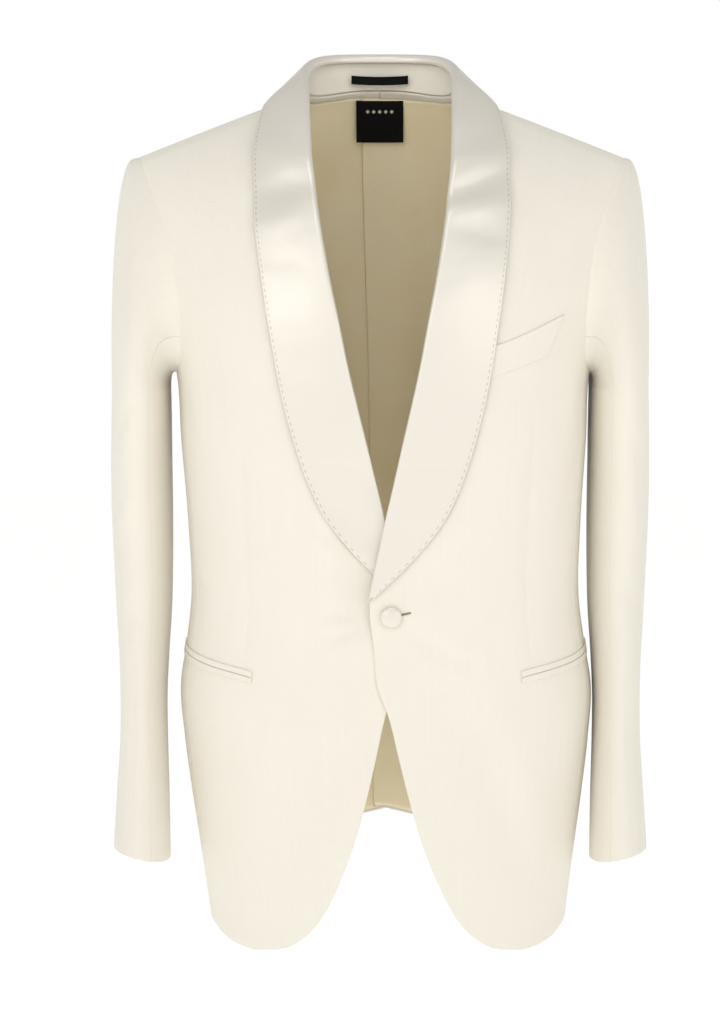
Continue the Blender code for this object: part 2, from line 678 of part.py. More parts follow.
for side, word in ((LEFT, "left"), (RIGHT, "right")):
    panel(f"front_{word}", side, *front_rows(), ivory, first=0.0)
    panel(f"side_panel_{word}", side, *side_rows(), ivory, first=SEAM, last=SEAM * 2)
    panel(f"back_{word}", side, *back_rows(), ivory)
    lining(f"back_lining_{word}", side)
    sleeve(f"top_sleeve_{word}", side, np.linspace(SLEEVE_BACK_SEAM - 360, SLEEVE_FRONT_SEAM, 12))
    sleeve(f"under_sleeve_{word}", side, np.linspace(SLEEVE_FRONT_SEAM, SLEEVE_BACK_SEAM, 8))
    shawl(f"shawl_{word}", side)
    hip_jet(f"hip_jet_upper_{word}", side, True)
    hip_jet(f"hip_jet_lower_{word}", side, False)

stand()
breast_welt()
button(satin)
hanger_loop()
label()
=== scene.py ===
"""A one-button shawl-collar dinner jacket, filled out as if worn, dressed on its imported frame.

Metres, +Z up. The front faces -Y and the wearer's left side is at +X. Each section is one piece of the
jacket, or a group of like pieces, in the order a tailor puts them together.
"""
import math

import bpy
import numpy as np
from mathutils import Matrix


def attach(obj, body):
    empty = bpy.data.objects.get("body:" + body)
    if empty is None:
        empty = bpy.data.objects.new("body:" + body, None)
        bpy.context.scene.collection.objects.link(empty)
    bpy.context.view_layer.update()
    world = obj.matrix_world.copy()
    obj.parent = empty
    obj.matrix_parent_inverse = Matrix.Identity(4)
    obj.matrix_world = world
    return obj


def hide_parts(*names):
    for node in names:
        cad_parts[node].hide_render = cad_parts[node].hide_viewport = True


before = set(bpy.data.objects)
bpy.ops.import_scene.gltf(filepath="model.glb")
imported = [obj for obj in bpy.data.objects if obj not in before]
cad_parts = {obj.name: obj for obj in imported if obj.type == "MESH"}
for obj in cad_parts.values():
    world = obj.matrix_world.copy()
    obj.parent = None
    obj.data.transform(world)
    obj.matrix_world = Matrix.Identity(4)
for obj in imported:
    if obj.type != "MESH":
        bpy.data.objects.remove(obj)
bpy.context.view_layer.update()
LEFT, RIGHT = 1, -1      # the wearer's sides
SIDES = ((LEFT, "left"), (RIGHT, "right"))


# --- Fronts -----------------------------------------------------------------------------------------
# Each front is one piece of ivory wool barathea over floating canvas, shaped by a long dart below the
# breast. Its edge is faced and turned, so it is soft and round, and it rolls open along the lapel.

CLOTH = 0.0020           # cloth with its canvas and facing
SEAM = 0.00002           # what each piece is drawn back at a seam
TURNED_EDGE = 0.0014     # how far in from an edge the cloth starts to round off
NECK_X = 0.071           # neck point of the shoulder seam
SHOULDER_SLOPE = 0.405
SHOULDER_ROUND = 0.050   # how softly the shoulder line levels off at the neck
POINT_X = 0.2245         # shoulder point, where the shoulder seam meets the sleeve
POINT_Z = -SHOULDER_SLOPE * (math.hypot(POINT_X, SHOULDER_ROUND) - math.hypot(NECK_X, SHOULDER_ROUND))
ROUNDNESS = 2.5          # superellipse power of a level section
LEAN = 0.010             # how far the torso leans to the wearer's left for each metre down
FRONT_SEAM = 0.74        # place of the front and side panel seam around the form
BACK_SEAM = 1.32         # place of the side and back panel seam
UNDERARM_ROW = 0.62      # share of a panel's rows that lie below the armhole
FRONT_TURN = 140.0       # degrees around the armhole, from the shoulder, where the front panel ends
BACK_TURN = 138.0        # the same for the back panel
EDGE_FULLNESS = 0.45     # share of the wall's outer half that an edge keeps
FLAT_HALF = 0.29         # cloth from the centre front to the side, as it lies flat
NAPE_BLEND = 0.003       # drop over which the fuller nape comes in
RIDGE_BLEND = 0.007      # drop over which the cloth turns from the shoulder ridge to the form's slope
UNDERLAP = 0.0030        # how deep the right front lies under the left one
UNDERLAP_ABOVE = 0.0042  # how much deeper it lies above the button
FOLD_ENDS = 0.35         # share of a fold's height that is left at its ends
DART_HOLLOW = -0.0009    # how far the cloth sinks along a dart
DART_HALF_WIDTH = 0.010  # half width of that hollow
DART_GROOVE = 0.0007     # depth of the dart's sewn line
DART_LINE = 0.0011       # half width of that line
EDGE_LINES = (0.0012, 0.0035, 0.007, 0.012)    # extra grid lines close to an edge, as shares of a width


def table(columns, *rows):
    """A short table as a dict of named columns."""
    return dict(zip(columns.split(), np.array(rows, float).T))


# Half width of the torso form by height
WIDTH = table(
    "z half_width",
    (-0.820, 0.163),
    (-0.760, 0.169),
    (-0.700, 0.177),
    (-0.650, 0.184),
    (-0.600, 0.190),
    (-0.550, 0.193),
    (-0.510, 0.187),
    (-0.470, 0.182),
    (-0.400, 0.1835),
    (-0.320, 0.189),
    (-0.255, 0.193),
    (-0.225, 0.200),
    (-0.190, 0.2115),
    (-0.155, 0.223),
    (-0.120, 0.236),
    (-0.090, 0.247),
    (-0.060, 0.256),
    (0.020, 0.262),
)

# Depth of the torso form in front of and behind the shoulder line, by distance below that line
DEPTH = table(
    "drop front back",
    (0.000, 0.000, 0.000),
    (0.006, 0.0135, 0.0125),
    (0.015, 0.0265, 0.025),
    (0.030, 0.0435, 0.041),
    (0.055, 0.066, 0.062),
    (0.090, 0.0895, 0.085),
    (0.130, 0.109, 0.103),
    (0.170, 0.1225, 0.112),
    (0.210, 0.130, 0.115),
    (0.260, 0.133, 0.112),
    (0.340, 0.132, 0.101),
    (0.420, 0.128, 0.090),
    (0.480, 0.124, 0.088),
    (0.540, 0.121, 0.098),
    (0.600, 0.120, 0.112),
    (0.680, 0.120, 0.122),
    (0.820, 0.119, 0.127),
)

# How much fuller the back is close to the neck: an extra drop by distance from the centre
NAPE = table(
    "x extra_drop",
    (0.000, 0.085),
    (0.020, 0.080),
    (0.035, 0.070),
    (0.050, 0.055),
    (0.060, 0.042),
    (0.080, 0.030),
    (0.100, 0.021),
    (0.130, 0.010),
    (0.170, 0.002),
    (0.210, 0.000),
)

# The back neckline, up to the neck point
NECKLINE = table(
    "x z",
    (0.000, 0.0080),
    (0.020, 0.0072),
    (0.035, 0.0050),
    (0.050, 0.0020),
    (0.060, 0.0005),
    (0.066, 0.0002),
    (NECK_X, 0.0000),
)

# The armhole seam, in degrees from the shoulder point down to the underarm
ARMHOLE_FRONT = table(
    "turn x z",
    (0, POINT_X, POINT_Z),
    (14, 0.2195, -0.0710),
    (28, 0.2125, -0.0895),
    (42, 0.2045, -0.1100),
    (56, 0.1975, -0.1310),
    (72, 0.1905, -0.1600),
    (90, 0.1870, -0.1900),
    (108, 0.1858, -0.2150),
)
ARMHOLE_BACK = table(
    "turn x z",
    (0, POINT_X, POINT_Z),
    (14, 0.2225, -0.0730),
    (28, 0.2200, -0.0900),
    (45, 0.2165, -0.1120),
    (65, 0.2115, -0.1400),
    (85, 0.2050, -0.1680),
    (105, 0.1970, -0.1930),
    (122, 0.1880, -0.2140),
)
UNDERARM_FRONT = table(
    "turn around z",
    (FRONT_TURN, FRONT_SEAM, -0.2475),
    (160, 0.86, -0.2560),
    (180, 1.00, -0.2575),
)
UNDERARM_BACK = table(
    "turn around z",
    (BACK_TURN, BACK_SEAM, -0.2325),
    (160, 1.16, -0.2500),
    (180, 1.00, -0.2575),
)

# The hem from the front panel's seam to the centre back
HEM = table(
    "around z",
    (FRONT_SEAM, -0.7735),
    (0.90, -0.7680),
    (1.00, -0.7625),
    (1.15, -0.7525),
    (BACK_SEAM, -0.7400),
    (1.60, -0.7140),
    (1.80, -0.7015),
    (1.94, -0.6968),
    (2.00, -0.6960),
)

# Front edge from the rounded hem corner up the cutaway, past the button and along the roll line to the
# neck. bend curves a row towards the hem. Below zero, x is past the centre front.
FRONT_EDGE = table(
    "row x z bend",
    (0.000, 0.1220, -0.7855, 1.7),
    (0.020, 0.0960, -0.7810, 1.6),
    (0.045, 0.0765, -0.7690, 1.4),
    (0.075, 0.0620, -0.7520, 1.2),
    (0.110, 0.0500, -0.7300, 1.0),
    (0.155, 0.0370, -0.6990, 1.0),
    (0.200, 0.0265, -0.6680, 1.0),
    (0.250, 0.0175, -0.6340, 1.0),
    (0.300, 0.0095, -0.6000, 1.0),
    (0.350, 0.0010, -0.5640, 1.0),
    (0.385, -0.0085, -0.5370, 1.0),
    (0.420, -0.0115, -0.5050, 1.0),
    (0.465, -0.0145, -0.4585, 1.0),
    (0.500, -0.0075, -0.4260, 1.0),
    (0.540, 0.0015, -0.3860, 1.0),
    (0.580, 0.0120, -0.3420, 1.0),
    (0.620, 0.0235, -0.2940, 1.0),
    (0.660, 0.0330, -0.2540, 1.0),
    (0.710, 0.0430, -0.2040, 1.0),
    (0.760, 0.0525, -0.1570, 1.0),
    (0.810, 0.0595, -0.1130, 1.0),
    (0.860, 0.0645, -0.0750, 1.0),
    (0.910, 0.0672, -0.0430, 1.0),
    (0.955, 0.0690, -0.0180, 1.0),
    (1.000, NECK_X, 0.0000, 1.0),
)

# Soft folds in the torso cloth: side of the wearer, both ends as flat distance from the centre front
# and height, half width, and height of the fold, below zero for a hollow
FOLDS = table(
    "side flat z to_flat to_z half_width height",
    (LEFT, 0.185, -0.200, 0.130, -0.285, 0.016, -0.0016),
    (LEFT, 0.205, -0.235, 0.165, -0.330, 0.014, 0.0012),
    (LEFT, 0.170, -0.120, 0.120, -0.170, 0.018, -0.0012),
    (LEFT, 0.060, -0.545, 0.125, -0.700, 0.020, -0.0030),
    (LEFT, 0.100, -0.560, 0.165, -0.720, 0.022, 0.0014),
    (LEFT, 0.022, -0.470, 0.085, -0.452, 0.007, 0.0009),
    (LEFT, 0.020, -0.488, 0.075, -0.520, 0.008, -0.0016),
    (LEFT, 0.210, -0.420, 0.150, -0.468, 0.014, 0.0011),
    (LEFT, 0.218, -0.300, 0.175, -0.395, 0.015, -0.0011),
    (RIGHT, 0.185, -0.195, 0.135, -0.280, 0.016, -0.0015),
    (RIGHT, 0.205, -0.240, 0.160, -0.335, 0.015, 0.0011),
    (RIGHT, 0.175, -0.118, 0.125, -0.165, 0.018, -0.0010),
    (RIGHT, 0.020, -0.470, 0.062, -0.474, 0.006, -0.0028),
    (RIGHT, 0.022, -0.482, 0.054, -0.497, 0.006, -0.0026),
    (RIGHT, 0.030, -0.425, 0.075, -0.400, 0.009, 0.0010),
    (RIGHT, 0.010, -0.500, 0.018, -0.560, 0.007, 0.0010),
    (RIGHT, 0.215, -0.430, 0.155, -0.475, 0.014, 0.0011),
    (RIGHT, 0.070, -0.590, 0.115, -0.740, 0.024, -0.0016),
    (LEFT, 0.430, -0.120, 0.500, -0.260, 0.022, -0.0016),
    (RIGHT, 0.430, -0.120, 0.500, -0.260, 0.022, -0.0016),
    (LEFT, 0.400, -0.200, 0.455, -0.360, 0.020, 0.0014),
    (RIGHT, 0.400, -0.200, 0.455, -0.360, 0.020, 0.0014),
    (LEFT, 0.400, -0.430, 0.540, -0.455, 0.013, -0.0013),
    (RIGHT, 0.400, -0.435, 0.540, -0.450, 0.013, -0.0013),
    (LEFT, 0.420, -0.405, 0.540, -0.425, 0.013, 0.0011),
    (RIGHT, 0.420, -0.408, 0.540, -0.424, 0.013, 0.0011),
    (LEFT, 0.300, -0.300, 0.340, -0.430, 0.014, -0.0012),
    (RIGHT, 0.300, -0.300, 0.340, -0.430, 0.014, -0.0012),
    (LEFT, 0.480, -0.520, 0.500, -0.690, 0.026, -0.0020),
    (RIGHT, 0.480, -0.520, 0.500, -0.690, 0.026, -0.0018),
)

# The darts: side, flat distance of the top and the bottom, their heights
DARTS = table(
    "side flat z to_flat to_z",
    (LEFT, 0.1335, -0.300, 0.1315, -0.522),
    (RIGHT, 0.1275, -0.305, 0.1300, -0.522),
)


def curve(keys, values, at):
    """Cubic Hermite curve through values at keys: each slope is that of the parabola through a value
    and its neighbours."""
    at = np.clip(np.asarray(at, float), keys[0], keys[-1])
    slopes = np.gradient(values, keys, axis=0)
    i = np.clip(np.searchsorted(keys, at) - 1, 0, len(keys) - 2)
    step = keys[i + 1] - keys[i]
    t = (at - keys[i]) / step
    shares = [(1 + 2 * t) * (1 - t) ** 2, step * t * (1 - t) ** 2,
              t * t * (3 - 2 * t), step * t * t * (t - 1)]
    if values.ndim > 1:
        shares = [share[..., None] for share in shares]
    return (values[i] * shares[0] + slopes[i] * shares[1]
            + values[i + 1] * shares[2] + slopes[i + 1] * shares[3])


def smooth(rows, key, column, at):
    """The curve through a table's column, whichever way its keys run."""
    order = slice(None, None, -1) if rows[key][0] > rows[key][-1] else slice(None)
    return curve(rows[key][order], rows[column][order], at)


def ease(t):
    """0 to 1 with level ends: three t squared less two t cubed."""
    t = np.clip(t, 0.0, 1.0)
    return t * t * (3 - 2 * t)


def unit(vectors):
    """Vectors divided by their lengths."""
    return vectors / np.linalg.norm(vectors, axis=-1, keepdims=True)


def shoulder_line(x):
    """Height of the shoulder ridge at a distance from the centre: a hyperbola, level at the neck."""
    return -SHOULDER_SLOPE * (np.hypot(x, SHOULDER_ROUND) - math.hypot(NECK_X, SHOULDER_ROUND))


def top_line(x):
    """Upper edge of the torso panels: the back neckline, then the shoulder ridge."""
    return np.where(x < NECK_X, smooth(NECKLINE, "x", "z", x), shoulder_line(x))


def wrap_angle(around):
    """Section angle for a place around the form (0 centre front, 1 side, 2 centre back), spread so
    that equal steps around are nearly equal lengths of cloth."""
    power = ROUNDNESS / 2
    part = np.where(around > 1, 2 - around, around)
    near = np.abs(part) ** power
    share = near / (near + (1 - np.abs(part)) ** power)
    return np.sign(part) * share * math.pi / 2


def form_x(around, z):
    """Distance from the centre: half width times the sine of the section angle, to the power 2 / n."""
    return smooth(WIDTH, "z", "half_width", z) * np.abs(np.sin(wrap_angle(around))) ** (2 / ROUNDNESS)


def around_at(x, z):
    """Place around the front half of the form for a distance from the centre: form_x backwards."""
    ratio = np.clip(np.abs(x) / smooth(WIDTH, "z", "half_width", z), 0, 0.9999)
    share = np.arcsin(ratio ** (ROUNDNESS / 2)) / (math.pi / 2)
    odds = (share / (1 - share)) ** (2 / ROUNDNESS)
    return np.sign(x) * odds / (1 + odds)


def form(side, around, z):
    """Point of the body form: a superellipse section whose depth follows the drop from the shoulder."""
    around, z = np.broadcast_arrays(np.asarray(around, float), np.asarray(z, float))
    angle = wrap_angle(around)
    x = form_x(around, z)
    drop = shoulder_line(x) - z
    extra = smooth(NAPE, "x", "extra_drop", x) * (1 - np.exp(-np.maximum(drop, 0) / NAPE_BLEND))
    behind = smooth(DEPTH, "drop", "back", drop + extra)
    depth = np.where(around > 1, behind, -smooth(DEPTH, "drop", "front", drop))
    y = depth * np.cos(angle) ** (2 / ROUNDNESS)
    return np.stack([side * np.sign(angle) * x - LEAN * z, y, z], -1)


def form_normal(side, around, z):
    """Outward unit normal by small differences. On the shoulder seam it turns to the upright, which
    the front and the back then share."""
    small = 0.002
    point = form(side, around, z)
    across = form(side, around + small, z) - form(side, around - small, z)
    down = point - form(side, around, z - small)
    normal = unit(side * np.cross(across, down))
    x = np.abs(point[..., 0] + LEAN * point[..., 2])
    drop = shoulder_line(x) - z
    upright = np.where(x > NECK_X * 0.8, np.exp(-np.maximum(drop, 0) / RIDGE_BLEND), 0)
    return unit(normal * (1 - upright[..., None]) + upright[..., None] * np.array((0.0, 0.0, 1.0)))


def tuck(side, x, z):
    """How far the right front lies under the left one near the centre front. It is deeper above the
    button, and fades out towards the side, the cutaway and the lapel."""
    if side == LEFT:
        return 0.0 * x
    under = UNDERLAP + UNDERLAP_ABOVE * ease((z + 0.500) / 0.035)
    to_side, to_cutaway, to_lapel = (0.055 - x) / 0.037, (z + 0.640) / 0.08, (-0.30 - z) / 0.06
    return under * ease(to_side) * ease(to_cutaway) * ease(to_lapel)


def of_side(side, rows):
    """The rows of a table that belong to one side of the wearer, without the column that says so."""
    return [row for on_side, *row in zip(*rows.values()) if on_side == side]


def bells(across, up, folds):
    """Height of soft folds: a bell over the distance to each fold's line, lower towards its ends."""
    height = 0.0 * across
    for x0, z0, x1, z1, half_width, rise in folds:
        run, fall = x1 - x0, z1 - z0
        along = np.clip(((across - x0) * run + (up - z0) * fall) / (run * run + fall * fall), 0, 1)
        gap = np.hypot(across - x0 - along * run, up - z0 - along * fall)
        fade = FOLD_ENDS + (1 - FOLD_ENDS) * np.sin(along * math.pi)
        height = height + rise * np.exp(-(gap / half_width) ** 2) * fade
    return height


def drape(side, around, z):
    """Height of the torso's soft folds and of the hollows along its darts."""
    hollows = [(*dart, DART_HALF_WIDTH, DART_HOLLOW) for dart in of_side(side, DARTS)]
    return bells(around * FLAT_HALF, z, of_side(side, FOLDS) + hollows)


def dart_line(side, around, z):
    """Depth of the sewn dart line: a narrow groove that fades in and out at the dart's ends."""
    depth = 0.0 * around
    for x0, z0, x1, z1 in of_side(side, DARTS):
        share = np.clip((z - z0) / (z1 - z0), 0, 1)
        gap = np.abs(around * FLAT_HALF - x0 - (x1 - x0) * share)
        fade = ease((z0 - z) / 0.02) * ease((z - z1) / 0.01)
        depth = depth - DART_GROOVE * np.exp(-(gap / DART_LINE) ** 2) * fade
    return depth


def on_form(side, around, z, out=0.0):
    """Point on the form moved out along its normal, with the right front tucked under the left."""
    around, z = np.broadcast_arrays(np.asarray(around, float), np.asarray(z, float))
    x = np.where(around > 1, 1.0, np.sign(around) * form_x(around, z))
    move = np.asarray(out) - tuck(side, x, z)
    return form(side, around, z) + form_normal(side, around, z) * move[..., None]


def armhole(turn, front):
    """Place around the form and height on the armhole seam, by degrees from the shoulder point."""
    upper, under = (ARMHOLE_FRONT, UNDERARM_FRONT) if front else (ARMHOLE_BACK, UNDERARM_BACK)
    places = around_at(upper["x"], upper["z"])
    seam = {
        "turn": np.append(upper["turn"], under["turn"]),
        "around": np.append(places if front else 2 - places, under["around"]),
        "z": np.append(upper["z"], under["z"]),
    }
    return smooth(seam, "turn", "around", turn), smooth(seam, "turn", "z", turn)


def panel_end(row, front):
    """Outer end of a front or back panel's row: its side seam, then the armhole."""
    seam = FRONT_SEAM if front else BACK_SEAM
    last_turn = FRONT_TURN if front else BACK_TURN
    hem = smooth(HEM, "around", "z", seam)
    top = armhole(last_turn, front)[1]
    above = np.clip((row - UNDERARM_ROW) / (1 - UNDERARM_ROW), 0, 1)
    arm_around, arm_z = armhole(last_turn * (1 - above), front)
    below_z = hem + (top - hem) * row / UNDERARM_ROW
    low = row < UNDERARM_ROW
    return np.where(low, seam, arm_around), np.where(low, below_z, arm_z)


def rows_between(first, last, bend, row, columns):
    """Grid of places and heights between two edges. Near the top the rows follow the top line."""
    share = np.asarray(columns)[None, :]
    (around0, z0), (around1, z1) = [[edge[:, None] for edge in pair] for pair in (first, last)]
    around = around0 + (around1 - around0) * share
    level = z0 + (z1 - z0) * share ** bend[:, None]
    follow = ease((row - UNDERARM_ROW) / (1 - UNDERARM_ROW))[:, None]
    z = level
    for _ in range(3):
        line = top_line(form_x(around, z))
        z = level + follow * (line - line[:, :1] * (1 - share) - line[:, -1:] * share)
    return around, z


def lines(count, first=EDGE_LINES, last=None):
    """Shares 0 to 1 of a width: evenly spaced, with extra ones close to the edges. Both edges have
    the first edge's, unless the last one is given its own."""
    last = first if last is None else last
    return np.unique(np.concatenate([np.linspace(0, 1, count), first, 1 - np.array(last)]))


def finer(values, steps):
    """The values with evenly spaced ones between them."""
    index = np.linspace(0, len(values) - 1, (len(values) - 1) * steps + 1)
    return np.interp(index, np.arange(len(values)), values)


def reach(points, axis):
    """Distance of each grid point from the grid's first edge, measured along the cloth."""
    steps = np.linalg.norm(np.diff(points, axis=axis), axis=-1)
    return np.concatenate([0 * np.take(steps, [0], axis), np.cumsum(steps, axis=axis)], axis)


def make_mesh(name, points, faces, flat, material):
    """A smooth-shaded object at the origin from points, four-cornered faces and flat cloth places."""
    mesh = bpy.data.meshes.new(name)
    mesh.from_pydata(points.tolist(), [], faces.tolist())
    places = mesh.uv_layers.new(name="flat_cloth")
    places.data.foreach_set("uv", flat[faces.ravel()].astype(np.float32).ravel())
    mesh.materials.append(material)
    mesh.shade_smooth()
    piece = bpy.data.objects.new(name, mesh)
    bpy.context.scene.collection.objects.link(piece)
    return piece


def cloth(name, middle, normal, flat, material, wall=CLOTH, edge=TURNED_EDGE, draw_back=SEAM):
    """A piece of cloth as one closed skin: its grid moved half a wall to each side along the normals.
    Near an edge the wall thins as a quarter circle, so that the edge is round. The faces point out
    where the columns run to the right and the rows up, seen from outside."""
    middle = middle.copy()
    for at, near in ((np.s_[:, 0], np.s_[:, 1]), (np.s_[:, -1], np.s_[:, -2]), (np.s_[0], np.s_[1]),
                     (np.s_[-1], np.s_[-2])):
        middle[at] += unit(middle[near] - middle[at]) * draw_back
    near_edge = np.minimum.reduce([reach(middle, 0), reach(middle, 1), reach(middle[::-1], 0)[::-1],
                                   reach(middle[:, ::-1], 1)[:, ::-1]])
    quarter = np.sqrt(1 - (1 - np.clip(near_edge / edge, 0, 1)) ** 2)
    plump = EDGE_FULLNESS + (1 - EDGE_FULLNESS) * quarter
    half = normal * (plump * wall / 2)[..., None]
    rows, columns = middle.shape[:2]
    face_side = np.arange(rows * columns).reshape(rows, columns)
    under_side = face_side.copy()
    under_side[1:-1, 1:-1] = rows * columns + np.arange((rows - 2) * (columns - 2)).reshape(rows - 2, -1)
    inside = np.s_[1:-1, 1:-1]
    points = np.concatenate([(middle + half).reshape(-1, 3), (middle - half)[inside].reshape(-1, 3)])
    places = np.concatenate([flat.reshape(-1, 2), flat[inside].reshape(-1, 2)])
    faces = [np.stack([g[:-1, :-1], g[:-1, 1:], g[1:, 1:], g[1:, :-1]], -1).reshape(-1, 4)
             for g in (face_side, under_side)]
    return make_mesh(name, points, np.concatenate([faces[0], faces[1][:, ::-1]]), places, material)


def panel(name, side, around, z, material, out=0.0, wall=CLOTH, relief=0.0, **edges):
    """A piece of cloth on the body form, given by the places and heights of its grid."""
    move = out - wall / 2 + drape(side, around, z) + dart_line(side, around, z) + relief
    middle = on_form(side, around, z, move)
    normal = form_normal(side, around, z)
    flat = np.stack([side * around * FLAT_HALF, z], -1)
    if side == RIGHT:
        middle, normal, flat = (grid[:, ::-1] for grid in (middle, normal, flat))
    return cloth(name, middle, normal, flat, material, wall, **edges)


def colour(code):
    """An sRGB hex colour as linear numbers."""
    parts = np.array([int(code[i:i + 2], 16) for i in (1, 3, 5)]) / 255
    return (*np.where(parts <= 0.04045, parts / 12.92, ((parts + 0.055) / 1.055) ** 2.4), 1.0)


def node(material, kind, sockets, **settings):
    """Adds a node. sockets gives each socket, by name or number, a value or a (node, output) to link."""
    made = material.node_tree.nodes.new(kind)
    for name, value in settings.items():
        setattr(made, name, value)
    for socket, value in sockets.items():
        if isinstance(value, tuple) and isinstance(value[0], bpy.types.Node):
            material.node_tree.links.new(made.inputs[socket], value[0].outputs[value[1]])
        else:
            made.inputs[socket].default_value = value
    return made


def new_material(name, settings):
    """A material and its Principled shader, with that shader's plain settings."""
    material = bpy.data.materials.new(name)
    material.use_nodes = True
    shader = material.node_tree.nodes["Principled BSDF"]
    for socket, value in settings.items():
        shader.inputs[socket].default_value = value
    return material, shader


def blend_colour(material, shader, factor, low, high):
    """Links a colour between two hex colours, by a factor, to the shader."""
    mixed = node(material, "ShaderNodeMix", {0: factor, 6: colour(low), 7: colour(high)}, data_type="RGBA")
    material.node_tree.links.new(shader.inputs["Base Color"], mixed.outputs[2])


def raise_threads(material, shader, heights, distance, strength=1.0):
    """Links bumps to the shader, one over the other: (node, output) heights of a size in metres."""
    last = None
    for height, size in zip(heights, distance):
        sockets = {"Height": height, "Distance": size, "Strength": strength}
        if last:
            sockets["Normal"] = (last, "Normal")
        last = node(material, "ShaderNodeBump", sockets)
    material.node_tree.links.new(shader.inputs["Normal"], last.outputs["Normal"])


RIBS = 0.286             # a rib pattern at a scale of RIBS / spacing has its ribs 1.1 spacings apart
WARP, WEFT = 0.0011, 0.0012    # spacings of the threads, which come out 1.2 and 1.3 mm apart
SLUBS = (260.0, 9.0, 1.0)    # slubs for each metre across the cloth and down it


def wool_barathea():
    """Fine wool barathea, matt, with a broken twill of about 0.5 mm threads. They are drawn at 1.2 and
    1.3 mm, coarser than they are, so that they show. Long slubs run with the warp."""
    material, shader = new_material("ivory_wool_barathea", {
        "Roughness": 0.82, "Specular IOR Level": 0.25, "Sheen Weight": 0.25, "Sheen Roughness": 0.5})
    flat = node(material, "ShaderNodeUVMap", {}, uv_map="flat_cloth")
    warp, weft = [
        node(material, "ShaderNodeTexWave", {"Vector": (flat, "UV"), "Scale": RIBS / spacing,
             "Distortion": 0.6, "Detail": 1.0, "Detail Scale": 3.0}, bands_direction=direction)
        for spacing, direction in ((WARP, "X"), (WEFT, "Y"))]
    weave = node(material, "ShaderNodeMath", {0: (warp, "Fac"), 1: (weft, "Fac")}, operation="MULTIPLY")
    long_way = node(material, "ShaderNodeMapping", {"Vector": (flat, "UV"), "Scale": SLUBS})
    slubs = node(material, "ShaderNodeTexNoise",
                 {"Vector": (long_way, "Vector"), "Scale": 1.0, "Detail": 3.0})
    cloud = node(material, "ShaderNodeTexNoise", {"Vector": (flat, "UV"), "Scale": 14.0, "Detail": 2.0})
    tone = node(material, "ShaderNodeMath", {0: (slubs, "Fac"), 1: (cloud, "Fac")}, operation="MULTIPLY")
    blend_colour(material, shader, (tone, "Value"), "#EEE8DA", "#F4EFE3")
    raise_threads(material, shader, [(weave, "Value"), (slubs, "Fac")], (0.00012, 0.00006))
    return material


def sew(piece, nodes, slot, flat, area, **more):
    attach(piece, "root")
    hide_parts(*nodes)


wool = wool_barathea()


def front_rows():
    """Rows from the front edge to the side seam and armhole."""
    row = np.unique(np.concatenate([
        finer(FRONT_EDGE["row"], 8), (0.0004, 0.001, 0.0022), 1 - np.array((0.0012, 0.003))]))
    x, z, bend = (smooth(FRONT_EDGE, "row", name, row) for name in ("x", "z", "bend"))
    return rows_between((around_at(x, z), z), panel_end(row, True), bend, row, lines(100))


for side, word in SIDES:
    front = panel(f"front_cloth_{word}", side, *front_rows(), wool)
    sew(front, [f"front_{word}"], "ivory_wool", (0.27, 0.80), 0.1405)


# --- Side panels ------------------------------------------------------------------------------------
# A narrow panel under each arm, cut in the same barathea. It joins the front and the back in two long
# pressed seams and leaves the bottom of the armhole open for the sleeve.

def underarm_height(around):
    """Upper edge of the side panel: the armhole's heights read at each place around."""
    places_front, heights_front = armhole(np.linspace(FRONT_TURN, 180, 40), True)
    places_back, heights_back = armhole(np.linspace(180, BACK_TURN, 40), False)
    places = np.append(places_front, places_back[1:])
    return np.interp(around, places, np.append(heights_front, heights_back[1:]))


def side_rows():
    """Even rows from the hem to the underarm, between the two seams."""
    around = FRONT_SEAM + (BACK_SEAM - FRONT_SEAM) * lines(34)
    hem, top = smooth(HEM, "around", "z", around), underarm_height(around)
    share = lines(140, (0.0004, 0.001, 0.0025))[:, None]
    return around + 0 * share, hem + (top - hem) * share


for side, word in SIDES:
    side_panel = panel(f"side_cloth_{word}", side, *side_rows(), wool)
    sew(side_panel, [f"side_panel_{word}"], "ivory_wool", (0.13, 0.55), 0.0556)


# --- Backs ------------------------------------------------------------------------------------------
# Two back pieces meet in a centre seam with no vent. They are a little full over the shoulder blades,
# hollow at the waist, and rise at the hem towards the centre.

def back_rows(steps, columns):
    """Rows from the side seam and armhole to the centre back, close together over the nape."""
    row = np.unique(np.concatenate([
        np.linspace(0, 0.87, steps), np.linspace(0.87, 1, steps // 3), (0.0004, 0.001, 0.0022, 0.9985)]))
    hem, neck = HEM["z"][-1], NECKLINE["z"][0]
    centre = (2 + 0 * row, hem + (neck - hem) * row)
    around, z = rows_between(centre, panel_end(row, False), 1 + 0 * row, row, lines(columns))
    return row, around[:, ::-1], z[:, ::-1]


for side, word in SIDES:
    back = panel(f"back_cloth_{word}", side, *back_rows(150, 84)[1:], wool)
    sew(back, [f"back_{word}"], "ivory_wool", (0.24, 0.77), 0.1478)


# --- Back lining ------------------------------------------------------------------------------------
# The back is lined right down to its hem in a smooth champagne twill. Ease for the shoulder blades is
# laid as a soft pleat down the centre, where the left half laps over the right.

LINING = 0.0008          # wall, and how far in from an edge it rounds off
LINING_DEPTH = 0.0032    # how far inside the back cloth's outer face the lining hangs
LINING_DRAW = 0.001      # what the lining is drawn back at a seam
LINING_HEM = 0.002       # share of the back's height left bare above its hem
LINING_TOP = 0.996       # share of the back's height where the lining ends, at the stand
LAP = 0.05               # how far the left half runs past the centre, as a place around the form
LAP_DEPTH = 0.0020       # how far inside the right half the left one lies there
TWILL_RIB = 0.0013       # spacing of the twill's ribs, which come out 1.4 mm apart


